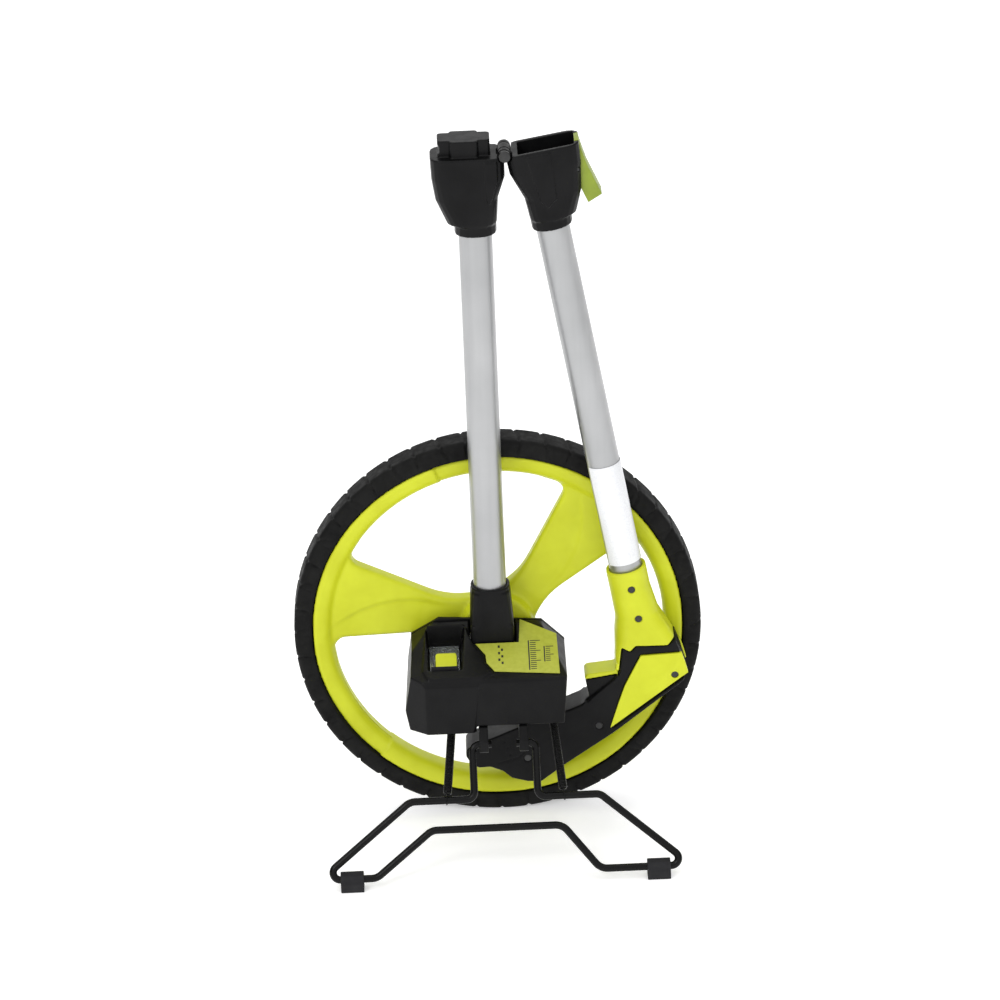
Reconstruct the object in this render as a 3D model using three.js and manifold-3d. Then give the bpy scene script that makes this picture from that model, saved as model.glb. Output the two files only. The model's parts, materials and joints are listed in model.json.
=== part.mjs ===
// Folding measuring wheel: a rubber-tyred wheel of one metre circumference, a five-drum counter driven by
// gears in a housing beside it, a two-piece tube handle that folds at a hinge, a pistol grip and a sprung
// wire stand.
//
// Frame: millimetres, origin where the tyre meets the ground under the axle, +X along the way it rolls,
// -Y towards the counter side, +Z up. The wheel turns about Y, midway between its two sides at y = 0.
import * as THREE from "three";
import { mergeVertices } from "three/addons/utils/BufferGeometryUtils.js";
import Module from "manifold-3d";

const wasm = await Module();
wasm.setup();

// ----------------------------------------------------------------------------------------------------
// Driving dimensions (mm, degrees)
// ----------------------------------------------------------------------------------------------------

const GAP = 0.3; // between pieces that touch or turn on each other

const WHEEL_CIRCUMFERENCE = 1000;
const TYRE_WIDTH = 28;
const TYRE_DEPTH = 14; // from the tread in to the rim
const RIM_DEPTH = 15.5; // from the tyre in to the windows
const RIM_WIDTH = 26;
const HUB_RADIUS = 28;
const HUB_WIDTH = 31;
const HUB_CLEARANCE = 0.5; // between the hub and the tube's socket
const WEB_THICKNESS = 16; // of the spokes
const SPOKE_ANGLES = [168, 48, -72];
const SPOKE_TAPER = 13.5; // each spoke edge from its centre line
const SPOKE_APEX = 14.4; // where the two edges meet, past the axle
const SPOKE_FLARE = 60; // radius between two spokes at the hub
const WINDOW_CORNER = 8;

const AXLE_RADIUS = 5;
const COLLAR_RADIUS = 8;
const BUSH_RADIUS = 8;
const BUSH_LENGTH = 6;
const GEAR_TEETH = 24;
const GEAR_PITCH_RADIUS = 11.6;
const GEAR_WIDTH = 3.5;

const HOUSING_FRONT = -90;
const HOUSING_BACK = -17;
const HOUSING_WALL = 2.5;
const BACK_PLATE = 3;
const TOP_SLOPE = 16.8; // the housing's top falls towards its front
const TOP_AT_BACK = 12; // above the axle

const COUNTER_ANGLE = 202.4; // direction of the counter from the axle, from +X towards +Z
const IDLER_ANGLE = 7.9; // the idler lies this far below that direction
const DRUM_COUNT = 5;
const DRUM_RADIUS = 9;
const DRUM_PITCH = 4.4;
const COUNTER_SHAFT_RADIUS = 1.5;
const BUTTON_TRAVEL = 3;

const TUBE_RADIUS = 12.7;
const TUBE_WALL = 1.2;
const TUBE_X = -5;
const LOWER_TUBE_LENGTH = 372;
const SOCKET_WALL = 2; // round the tube
const SOCKET_TOP = 47; // above the axle
const TUBE_FOOT = 16; // bottom of the lower tube above the axle
const SOCKET_DEPTH = 48; // of the tube in each hinge connector

const HINGE_OFFSET = 24; // hinge pin from the tube's centre line
const FOLD_ANGLE = 9.4; // between the two tubes when folded
const PIN_RADIUS = 2.5;
const KNUCKLE_RADIUS = 5;
const KNUCKLE_LENGTH = 11; // of the middle knuckle
const BARREL_HALF_LENGTH = 11.5; // of the three knuckles together
const CONNECTOR_HALF_DEPTH = 17.5;
const MATING_GAP = 0.8; // between the two connectors when they close
const KEY_HEIGHT = 13;
const KEY_LEFT = 50; // far side of the key from the pin
const KEY_RIGHT = 10.6;
const KEY_HALF_DEPTH = 13;

const GRIP_WALL = 3.2; // of the neck over the tube
const GUARD_HALF_WIDTH = 11;
const GRIP_CLEARANCE = 9; // between the swinging grip and the housing's corner

const STAND_WIRE = 6;
const STAND_PIVOT_Y = HOUSING_FRONT - 4;
const STAND_PIVOT_Z = -61; // below the axle
const STAND_LEAN = 26;
const FOOT_HEIGHT = 14;
const FOOT_DEPTH = 13;
const FOOT_WIDTH = 18;
const SPRING_RADIUS = 3.5;

// ----------------------------------------------------------------------------------------------------
// Derived places
// ----------------------------------------------------------------------------------------------------

const radians = THREE.MathUtils.degToRad;
const WHEEL_RADIUS = WHEEL_CIRCUMFERENCE / (2 * Math.PI);
const AXLE_Z = WHEEL_RADIUS;
const TUBE_Y = -(HUB_WIDTH / 2 + HUB_CLEARANCE + SOCKET_WALL + GAP + TUBE_RADIUS);
const RIM_RADIUS = WHEEL_RADIUS - TYRE_DEPTH;
const WINDOW_RADIUS = RIM_RADIUS - RIM_DEPTH;
const PLATE_FRONT = HOUSING_BACK - BACK_PLATE;
const COVER_BACK = PLATE_FRONT - GAP;
const GEAR_BACK = PLATE_FRONT - 1;
const GEAR_CENTRES = 2 * GEAR_PITCH_RADIUS;
const COUNTER_DISTANCE = 2 * GEAR_CENTRES * Math.cos(radians(IDLER_ANGLE));
const COUNTER_X = COUNTER_DISTANCE * Math.cos(radians(COUNTER_ANGLE));
const COUNTER_Z = COUNTER_DISTANCE * Math.sin(radians(COUNTER_ANGLE));
const WINDOW_FLOOR = COUNTER_Z + DRUM_RADIUS + 0.5; // of the recess over the counter
const IDLER_X = GEAR_CENTRES * Math.cos(radians(COUNTER_ANGLE + IDLER_ANGLE));
const IDLER_Z = GEAR_CENTRES * Math.sin(radians(COUNTER_ANGLE + IDLER_ANGLE));
const GEAR_FRONT = GEAR_BACK - GEAR_WIDTH;
const BLOCK_FRONT = TUBE_Y - TUBE_RADIUS - GAP - SOCKET_WALL;
const AXLE_FRONT = BLOCK_FRONT + 4; // the bore in the tube's socket is blind
const DRUMS_BACK = PLATE_FRONT - 11;
const DRUMS_FRONT = DRUMS_BACK - DRUM_COUNT * DRUM_PITCH;
const CONNECTOR_BOTTOM = TUBE_FOOT + LOWER_TUBE_LENGTH - SOCKET_DEPTH;
const MATE_Z = TUBE_FOOT + LOWER_TUBE_LENGTH + 15; // top face of the lower connector above the axle
const HINGE_Z = MATE_Z + MATING_GAP / 2; // the pin lies in the plane where the connectors meet
const HINGE_X = TUBE_X + HINGE_OFFSET;
const GRIP_HALF_WIDTH = TUBE_RADIUS + GRIP_WALL;
const HANDLE_HALF_WIDTH = GRIP_HALF_WIDTH - 1.5;

// ----------------------------------------------------------------------------------------------------
// Solids
// ----------------------------------------------------------------------------------------------------

function solidOf(geometry) {
  const bare = geometry.index ? geometry.toNonIndexed() : geometry.clone();
  bare.deleteAttribute("normal");
  bare.deleteAttribute("uv");
  const merged = mergeVertices(bare, 1e-4);
  return new wasm.Manifold(
    new wasm.Mesh({
      numProp: 3,
      vertProperties: merged.attributes.position.array,
      triVerts: new Uint32Array(merged.index.array),
    }),
  );
}

function geometryOf(solid) {
  const mesh = solid.getMesh();
  const geometry = new THREE.BufferGeometry();
  geometry.setAttribute("position", new THREE.BufferAttribute(mesh.vertProperties, 3));
  geometry.setIndex(new THREE.BufferAttribute(mesh.triVerts, 1));
  geometry.computeVertexNormals();
  return geometry;
}

const join = (first, ...others) => others.reduce((sum, next) => sum.add(next), first);
const cut = (first, ...others) => others.reduce((rest, next) => rest.subtract(next), first);

function box(x0, x1, y0, y1, z0, z1) {
  const block = new THREE.BoxGeometry(x1 - x0, y1 - y0, z1 - z0);
  return solidOf(block.translate((x0 + x1) / 2, (y0 + y1) / 2, (z0 + z1) / 2));
}

// A cylinder along Y, from y0 to y1.
function rodY(radius, y0, y1, x = 0, z = 0, sides = 24) {
  const rod = new THREE.CylinderGeometry(radius, radius, y1 - y0, sides);
  return solidOf(rod.translate(x, (y0 + y1) / 2, z));
}

// A cylinder along X, from x0 to x1.
function rodX(radius, x0, x1, y, z, sides = 12) {
  const rod = new THREE.CylinderGeometry(radius, radius, x1 - x0, sides);
  return solidOf(rod.rotateZ(Math.PI / 2).translate((x0 + x1) / 2, y, z));
}

// A cylinder along Z, from z0 to z1.
function rodZ(radius, z0, z1, x, y, sides = 24) {
  const rod = new THREE.CylinderGeometry(radius, radius, z1 - z0, sides);
  return solidOf(rod.rotateX(Math.PI / 2).translate(x, y, (z0 + z1) / 2));
}

// A ring round the Y axis: the profile is a closed loop of [radius, y] points.
function turned(profile, sides, startAngle = 0) {
  const loop = [...profile, profile[0]].map(([radius, y]) => new THREE.Vector2(radius, y));
  const made = solidOf(new THREE.LatheGeometry(loop, sides, startAngle));
  return made.volume() < 0 ? turned([...profile].reverse(), sides, startAngle) : made;
}

function shapeOf(outline, holes = []) {
  const shape = new THREE.Shape(outline.map(([u, v]) => new THREE.Vector2(u, v)));
  shape.holes = holes.map((hole) => new THREE.Path(hole.map(([u, v]) => new THREE.Vector2(u, v))));
  return shape;
}

// An outline in the XZ plane, from y0 to y1.
function slabY(outline, y0, y1, holes = []) {
  const slab = new THREE.ExtrudeGeometry(shapeOf(outline, holes), { depth: y1 - y0, bevelEnabled: false });
  return solidOf(slab.rotateX(Math.PI / 2).translate(0, y1, 0));
}

// An outline in the XY plane, from z0 to z1.
function slabZ(outline, z0, z1) {
  const slab = new THREE.ExtrudeGeometry(shapeOf(outline), { depth: z1 - z0, bevelEnabled: false });
  return solidOf(slab.translate(0, 0, z0));
}

// An outline in the YZ plane, from x0 to x1.
function slabX(outline, x0, x1) {
  const slab = new THREE.ExtrudeGeometry(shapeOf(outline), { depth: x1 - x0, bevelEnabled: false });
  return solidOf(slab.rotateZ(Math.PI / 2).rotateY(Math.PI / 2).translate(x0, 0, 0));
}

// A rounded rectangle as [x, y] points.
function roundedRectangle(x0, x1, y0, y1, radius, steps = 3) {
  const corners = [
    [x1 - radius, y0 + radius, -90],
    [x1 - radius, y1 - radius, 0],
    [x0 + radius, y1 - radius, 90],
    [x0 + radius, y0 + radius, 180],
  ];
  return corners.flatMap(([x, y, start]) =>
    Array.from({ length: steps + 1 }, (_, i) => {
      const angle = radians(start + (90 * i) / steps);
      return [x + radius * Math.cos(angle), y + radius * Math.sin(angle)];
    }),
  );
}

// A body through rounded rectangles stacked along Z: each level is { z, x0, x1, half, radius }, half being
// its depth each side of the tube's plane.
function lofted(levels, y = TUBE_Y) {
  const rings = levels.map(({ z, x0, x1, half, radius }) =>
    roundedRectangle(x0, x1, y - half, y + half, radius, 4).map(([px, py]) => [px, py, z]),
  );
  const count = rings[0].length;
  const middle = (ring) => [
    ring.reduce((sum, p) => sum + p[0], 0) / count,
    ring.reduce((sum, p) => sum + p[1], 0) / count,
    ring[0][2],
  ];
  const triangles = [];
  const bottom = rings[0];
  const top = rings[rings.length - 1];
  for (let i = 0; i < count; i += 1) {
    const next = (i + 1) % count;
    triangles.push(middle(bottom), bottom[next], bottom[i]);
    triangles.push(middle(top), top[i], top[next]);
    for (let level = 0; level + 1 < rings.length; level += 1) {
      const [low, high] = [rings[level], rings[level + 1]];
      triangles.push(low[i], low[next], high[next], low[i], high[next], high[i]);
    }
  }
  const geometry = new THREE.BufferGeometry();
  geometry.setAttribute("position", new THREE.Float32BufferAttribute(triangles.flat(), 3));
  return solidOf(geometry);
}

// Points of a route with its corners rounded: each corner is [point, radius].
function roundedRoute(corners, steps = 4) {
  const points = [];
  corners.forEach(([point, radius], i) => {
    if (!radius) {
      points.push(point.clone());
      return;
    }
    const back = corners[i - 1][0].clone().sub(point).normalize();
    const on = corners[i + 1][0].clone().sub(point).normalize();
    const half = back.angleTo(on) / 2;
    const setback = radius / Math.tan(half);
    const centre = back.clone().add(on).normalize().multiplyScalar(radius / Math.sin(half));
    const start = back.clone().multiplyScalar(setback).sub(centre);
    const end = on.clone().multiplyScalar(setback).sub(centre);
    const turn = start.angleTo(end);
    for (let step = 0; step <= steps; step += 1) {
      const t = step / steps;
      const arm = start.clone().multiplyScalar(Math.sin((1 - t) * turn));
      arm.addScaledVector(end, Math.sin(t * turn)).divideScalar(Math.sin(turn));
      points.push(arm.add(centre).add(point));
    }
  });
  return points;
}

// A curve that an extrusion follows from point to point, so that straights take one step.
class Route extends THREE.Curve {
  constructor(points) {
    super();
    this.points = points;
  }
  getPoint(t) {
    return this.points[Math.round(t * (this.points.length - 1))].clone();
  }
  getSpacedPoints(count) {
    return this.getPoints(count);
  }
  getTangentAt(t) {
    const i = Math.round(t * (this.points.length - 1));
    const tangent = new THREE.Vector3();
    if (i > 0) tangent.add(this.points[i].clone().sub(this.points[i - 1]).normalize());
    if (i + 1 < this.points.length) tangent.add(this.points[i + 1].clone().sub(this.points[i]).normalize());
    return tangent.normalize();
  }
}

function wire(points, diameter, sides = 8) {
  const section = new THREE.Shape();
  for (let i = 0; i < sides; i += 1) {
    const angle = (2 * Math.PI * i) / sides;
    const [u, v] = [(diameter / 2) * Math.cos(angle), (diameter / 2) * Math.sin(angle)];
    if (i === 0) section.moveTo(u, v);
    else section.lineTo(u, v);
  }
  const steps = points.length - 1;
  const extrudePath = new Route(points);
  return solidOf(new THREE.ExtrudeGeometry(section, { steps, bevelEnabled: false, extrudePath }));
}

// Moves each edge of a convex outline inwards by the given distance.
function inset(outline, distance) {
  const count = outline.length;
  const area = outline.reduce((sum, [x, y], i) => {
    const [nextX, nextY] = outline[(i + 1) % count];
    return sum + x * nextY - nextX * y;
  }, 0);
  const side = Math.sign(area);
  const edges = outline.map(([x, y], i) => {
    const [nextX, nextY] = outline[(i + 1) % count];
    const length = Math.hypot(nextX - x, nextY - y);
    const [dx, dy] = [(nextX - x) / length, (nextY - y) / length];
    return { x: x - side * dy * distance, y: y + side * dx * distance, dx, dy };
  });
  return edges.map((edge, i) => {
    const before = edges[(i + count - 1) % count];
    const cross = before.dx * edge.dy - before.dy * edge.dx;
    const along = ((edge.x - before.x) * edge.dy - (edge.y - before.y) * edge.dx) / cross;
    return [before.x + before.dx * along, before.y + before.dy * along];
  });
}

// ----------------------------------------------------------------------------------------------------
// Materials
// ----------------------------------------------------------------------------------------------------

function finish(color, roughness, metalness = 0) {
  return new THREE.MeshStandardMaterial({ color, roughness, metalness });
}

const lime = finish(0xc5dc1e, 0.45);
const blackPlastic = finish(0x1b1b1d, 0.5);
const rubber = finish(0x161616, 0.85);
const aluminium = finish(0xb9bbbd, 0.35, 0.9);
const steel = finish(0x9a9b9d, 0.3, 1);
const blackWire = finish(0x0d0d0e, 0.3, 0.4);
const brass = finish(0xb08d4a, 0.35, 1);
const whitePlastic = finish(0xe9e9e4, 0.5);
const clear = finish(0xdfe8ea, 0.05);
const labelFilm = finish(0xb9c64a, 0.5);
const reflective = finish(0xf6f6f4, 0.3);

const part = new THREE.Group();
const machine = new THREE.Group(); // everything placed from the axle
machine.position.z = AXLE_Z;
part.add(machine);
const arm = new THREE.Group(); // the folding upper tube and grip: hangs from the hinge pin along its own -Z
arm.position.set(HINGE_X, 0, HINGE_Z);
arm.rotation.y = -radians(FOLD_ANGLE);
machine.add(arm);

function add(group, name, solid, material) {
  const mesh = new THREE.Mesh(geometryOf(solid), material);
  mesh.name = name;
  group.add(mesh);
  return mesh;
}

// ----------------------------------------------------------------------------------------------------
// Wheel
// ----------------------------------------------------------------------------------------------------

const WHEEL_SIDES = 60;

// The tread is a ring of flats with one level at the ground, so its corners stand a little further out.
function tyre() {
  const outer = WHEEL_RADIUS / Math.cos(Math.PI / WHEEL_SIDES);
  const half = TYRE_WIDTH / 2;
  const bead = RIM_RADIUS - 4;
  const seat = RIM_WIDTH / 2 - 1.3; // the bead sits in the rim's groove
  const profile = [
    [bead, 4 - seat],
    [RIM_RADIUS + GAP, -seat],
    [RIM_RADIUS + GAP, -half + 0.5],
    [RIM_RADIUS + 2, -half],
    [outer - 4, -half + 0.5],
    [outer - 1.2, -half + 2.5],
    [outer, -half + 5],
    [outer, half - 5],
    [outer - 1.2, half - 2.5],
    [outer - 4, half - 0.5],
    [RIM_RADIUS + 2, half],
    [RIM_RADIUS + GAP, half - 0.5],
    [RIM_RADIUS + GAP, seat],
    [bead, seat - 4],
  ];
  return turned(profile, WHEEL_SIDES, Math.PI / WHEEL_SIDES);
}

// One window between two spokes: straight along the spokes, round at the hub, an arc along the rim.
function windowOutline(spokeAngle) {
  const edge = (angle, side, distance) => {
    const direction = radians(angle + side * SPOKE_TAPER);
    return [
      -SPOKE_APEX * Math.cos(radians(angle)) + distance * Math.cos(direction),
      -SPOKE_APEX * Math.sin(radians(angle)) + distance * Math.sin(direction),
    ];
  };
  const next = spokeAngle + 360 / SPOKE_ANGLES.length;
  const bisector = radians(spokeAngle + 180 / SPOKE_ANGLES.length);
  const halfCorner = radians(180 / SPOKE_ANGLES.length - SPOKE_TAPER);
  const vertex = (SPOKE_APEX * Math.sin(radians(SPOKE_TAPER))) / Math.sin(halfCorner);
  const reach = Math.sqrt(WINDOW_RADIUS ** 2 - (SPOKE_APEX * Math.sin(radians(SPOKE_TAPER))) ** 2);
  const distance = reach + SPOKE_APEX * Math.cos(radians(SPOKE_TAPER));
  const first = edge(spokeAngle, 1, distance);
  const last = edge(next, -1, distance);
  const startAngle = Math.atan2(first[1], first[0]);
  let sweep = Math.atan2(last[1], last[0]) - startAngle;
  if (sweep < 0) sweep += 2 * Math.PI;
  const flat = ([x, y]) => new THREE.Vector3(x, y, 0);
  const hubCorner = flat([vertex * Math.cos(bisector), vertex * Math.sin(bisector)]);
  const arcSteps = 10;
  const rimArc = Array.from({ length: arcSteps + 1 }, (_, i) => {
    const angle = startAngle + (sweep * i) / arcSteps;
    const radius = i === 0 || i === arcSteps ? WINDOW_CORNER : 0;
    return [flat([WINDOW_RADIUS * Math.cos(angle), WINDOW_RADIUS * Math.sin(angle)]), radius];
  });
  // The middle of the rim arc starts and ends the loop, so that both its corners have neighbours.
  const middle = arcSteps / 2;
  const loop = [...rimArc.slice(middle), [hubCorner, SPOKE_FLARE], ...rimArc.slice(0, middle)];
  return roundedRoute([...loop, [loop[0][0], 0]], 5)
    .slice(0, -1)
    .map((point) => [point.x, point.y]);
}

function wheelBody() {
  const half = RIM_WIDTH / 2;
  const bead = RIM_RADIUS - 4 - GAP;
  const rim = turned(
    [
      [WINDOW_RADIUS, -half + 5],
      [WINDOW_RADIUS + 2, -half + 1.5],
      [WINDOW_RADIUS + 5, -half],
      [RIM_RADIUS - 1, -half],
      [RIM_RADIUS, -half + 1],
      [bead, -half + 4],
      [bead, half - 4],
      [RIM_RADIUS, half - 1],
      [RIM_RADIUS - 1, half],
      [WINDOW_RADIUS + 5, half],
      [WINDOW_RADIUS + 2, half - 1.5],
      [WINDOW_RADIUS, half - 5],
    ],
    WHEEL_SIDES,
    Math.PI / WHEEL_SIDES,
  );
  const discRadius = WINDOW_RADIUS + 3;
  const disc = Array.from({ length: WHEEL_SIDES }, (_, i) => {
    const angle = (2 * Math.PI * i) / WHEEL_SIDES;
    return [discRadius * Math.cos(angle), discRadius * Math.sin(angle)];
  });
  const windows = SPOKE_ANGLES.map(windowOutline);
  const web = slabY(disc, -WEB_THICKNESS / 2, WEB_THICKNESS / 2, windows);
  const hub = rodY(HUB_RADIUS, -HUB_WIDTH / 2, HUB_WIDTH / 2, 0, 0, 36);
  return cut(join(rim, web, hub), rodY(AXLE_RADIUS + GAP, -HUB_WIDTH, HUB_WIDTH));
}

// The axle is keyed to the wheel and turns in the bushes: a journal with a collar between hub and gear.
function axle() {
  const journal = rodY(AXLE_RADIUS, AXLE_FRONT, HUB_WIDTH / 2 + 8);
  const collar = rodY(COLLAR_RADIUS, GEAR_BACK + GAP, -HUB_WIDTH / 2 - GAP);
  return join(journal, collar);
}

function ringY(inner, outer, y0, y1, x = 0, z = 0, sides = 24) {
  return cut(rodY(outer, y0, y1, x, z, sides), rodY(inner, y0 - 1, y1 + 1, x, z, sides));
}

add(machine, "tyre", tyre(), rubber);
add(machine, "wheel_rim_and_spokes", wheelBody(), lime);
add(machine, "axle", axle(), steel);
const hubBack = HUB_WIDTH / 2;
const washerBack = hubBack + GAP + 1.5;
const nut = rodY(AXLE_RADIUS + 3.5, washerBack + GAP, washerBack + 5.2, 0, 0, 6);
add(machine, "hub_washer", ringY(AXLE_RADIUS + GAP, AXLE_RADIUS + 6, hubBack + GAP, washerBack), steel);
add(machine, "axle_nut", cut(nut, rodY(AXLE_RADIUS + GAP, hubBack, washerBack + 9)), steel);

// ----------------------------------------------------------------------------------------------------
// Gear train and counter
// ----------------------------------------------------------------------------------------------------

// A spur gear about Y with a tooth centred on the given angle (degrees, from +X towards +Z).
function gear(x, z, bore, toothAngle) {
  const pitchAngle = (2 * Math.PI) / GEAR_TEETH;
  const module = (2 * GEAR_PITCH_RADIUS) / GEAR_TEETH;
  const root = GEAR_PITCH_RADIUS - 1.15 * module;
  const tip = GEAR_PITCH_RADIUS + 0.8 * module;
  const outline = [];
  for (let i = 0; i < GEAR_TEETH; i += 1) {
    const centre = radians(toothAngle) + i * pitchAngle;
    const corners = [
      [root, -0.29],
      [tip, -0.1],
      [tip, 0.1],
      [root, 0.29],
    ];
    for (const [radius, share] of corners) {
      const angle = centre + share * pitchAngle;
      outline.push([x + radius * Math.cos(angle), z + radius * Math.sin(angle)]);
    }
  }
  return cut(slabY(outline, GEAR_FRONT, GEAR_BACK), rodY(bore, GEAR_FRONT - 1, GEAR_BACK + 1, x, z, 16));
}

const degrees = (x, z) => THREE.MathUtils.radToDeg(Math.atan2(z, x));
const toIdler = degrees(IDLER_X, IDLER_Z);
const toCounter = degrees(COUNTER_X - IDLER_X, COUNTER_Z - IDLER_Z);
const halfPitch = 180 / GEAR_TEETH;
// The drive gear has a tooth towards the idler, which has a space there; the counter gear fits the
// idler's tooth.
const idlerTooth = toIdler + 180 + halfPitch;
const pitchesToCounter = Math.round((toCounter - idlerTooth) / (2 * halfPitch));
const toothNearCounter = idlerTooth + 2 * halfPitch * pitchesToCounter;
const counterTooth = toCounter + 180 + halfPitch + (toCounter - toothNearCounter);

add(machine, "drive_gear", gear(0, 0, AXLE_RADIUS + GAP, toIdler), whitePlastic);
add(machine, "idler_gear", gear(IDLER_X, IDLER_Z, 2 + GAP, idlerTooth), whitePlastic);
add(machine, "idler_pin", rodY(2, GEAR_FRONT + GAP, COVER_BACK, IDLER_X, IDLER_Z, 12), steel);
add(
  machine,
  "counter_gear",
  gear(COUNTER_X, COUNTER_Z, COUNTER_SHAFT_RADIUS + GAP, counterTooth),
  whitePlastic,
);
const shaftFront = DRUMS_FRONT - 4;
add(
  machine,
  "counter_shaft",
  rodY(COUNTER_SHAFT_RADIUS, shaftFront, GEAR_BACK, COUNTER_X, COUNTER_Z, 12),
  steel,
);
for (let i = 0; i < DRUM_COUNT; i += 1) {
  const back = DRUMS_BACK - i * DRUM_PITCH;
  const bore = COUNTER_SHAFT_RADIUS + GAP;
  const drum = ringY(bore, DRUM_RADIUS, back - DRUM_PITCH + GAP, back, COUNTER_X, COUNTER_Z, 20);
  add(machine, `digit_drum_${i + 1}`, drum, blackPlastic);
}

// A channel that carries the counter shaft at both ends.
function counterFrame() {
  const half = DRUM_RADIUS + 2;
  const floor = COUNTER_Z - DRUM_RADIUS - 4;
  const cheekTop = COUNTER_Z + 4;
  const cheek = 1.6;
  const across = (y0, y1, top) => box(COUNTER_X - half, COUNTER_X + half, y0, y1, floor, top);
  const base = across(DRUMS_FRONT - cheek - GAP, DRUMS_BACK + cheek + GAP, floor + 2);
  const front = across(DRUMS_FRONT - cheek - GAP, DRUMS_FRONT - GAP, cheekTop);
  const back = across(DRUMS_BACK + GAP, DRUMS_BACK + cheek + GAP, cheekTop);
  const bore = rodY(COUNTER_SHAFT_RADIUS + GAP, shaftFront - 1, GEAR_BACK, COUNTER_X, COUNTER_Z, 12);
  return cut(join(base, front, back), bore);
}

add(machine, "counter_frame", counterFrame(), steel);

// ----------------------------------------------------------------------------------------------------
// Housing
// ----------------------------------------------------------------------------------------------------

const slope = Math.tan(radians(TOP_SLOPE));
const topAt = (y) => TOP_AT_BACK + (y - HOUSING_BACK) * slope;

const HOUSING_LEFT = -74.5;
const HOUSING_TAPER = 3.5; // of the left side, from front to back
const HOUSING_RIGHT = 51.6;
const HOUSING_BOTTOM = -53.5;
const HOUSING_STEP = -48.5; // the raised right half of the bottom

// Front view of the housing, as [x, z].
const upperFace = [
  [HOUSING_RIGHT, -9],
  [34, 8.5],
  [-46, 13.5],
  [-68, 1],
  [HOUSING_LEFT, -38],
  [HOUSING_LEFT + 3, HOUSING_BOTTOM],
];
const housingFace = [
  ...upperFace,
  [-22.5, HOUSING_BOTTOM],
  [-15.5, HOUSING_STEP],
  [45.5, HOUSING_STEP],
  [HOUSING_RIGHT - 0.6, -46],
];
// The housing narrows towards its back plate on the left.
const plateFace = housingFace.map(([x, z]) => [Math.max(x, HOUSING_LEFT + HOUSING_TAPER), z]);
// The face without its step, which is cut afterwards, so that this outline is convex.
const convexFace = [...upperFace, [HOUSING_RIGHT - 4, HOUSING_BOTTOM]];

function housingSolid(wall, back) {
  const side = [
    [HOUSING_FRONT, HOUSING_BOTTOM - 10],
    [back, HOUSING_BOTTOM - 10],
    [back, topAt(back)],
    [HOUSING_FRONT + 2.5, topAt(HOUSING_FRONT + 2.5)],
    [HOUSING_FRONT, topAt(HOUSING_FRONT) - 3.5],
  ];
  const plan = [
    [HOUSING_LEFT + HOUSING_TAPER, back],
    [HOUSING_LEFT, HOUSING_FRONT + 13],
    [-58, HOUSING_FRONT],
    [HOUSING_RIGHT - 4, HOUSING_FRONT],
    [HOUSING_RIGHT + 0.5, HOUSING_FRONT + 4],
    [HOUSING_RIGHT + 5, back],
  ];
  const open = wall > 0 ? 20 : 0; // an inner solid reaches out through the open back
  const sideView = inset(side, wall).map(([y, z], i) => [i === 1 || i === 2 ? back + open : y, z]);
  const planView = inset(plan, wall).map(([x, y], i) => [x, i === 0 || i === 5 ? back + open : y]);
  const front = slabY(inset(convexFace, wall), HOUSING_FRONT - 1, back + open);
  const across = slabX(sideView, HOUSING_LEFT - 10, HOUSING_RIGHT + 10);
  const down = slabZ(planView, HOUSING_BOTTOM - 20, TOP_AT_BACK + 20);
  return front.intersect(across).intersect(down);
}

const bossPlaces = [
  [-66, -46.5],
  [45.5, -42],
  [40, -4],
  [-59, -1],
];
const SCREW_RADIUS = 1.6;
const SOCKET = { x0: TUBE_X - TUBE_RADIUS - 3.8, x1: TUBE_X + TUBE_RADIUS + 4.8, foot: -17 };
const BOSS_LENGTH = 15;

// The recess over the counter: [x0, x1, back y, front y] inside its walls.
const RECESS = [COUNTER_X - 12.5, COUNTER_X + 12.5, DRUMS_BACK + 1.5, HOUSING_FRONT + 14];
const recessWall = 1.8;
const BUTTON = {
  x0: COUNTER_X - 7.1,
  x1: COUNTER_X + 9.4,
  back: DRUMS_FRONT - 2.6,
  front: DRUMS_FRONT - 18.6,
};

function buttonHole() {
  const [x0, x1] = [BUTTON.x0 - GAP, BUTTON.x1 + GAP];
  return box(x0, x1, BUTTON.front - GAP, BUTTON.back + GAP, WINDOW_FLOOR - 5, WINDOW_FLOOR + 5);
}

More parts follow.
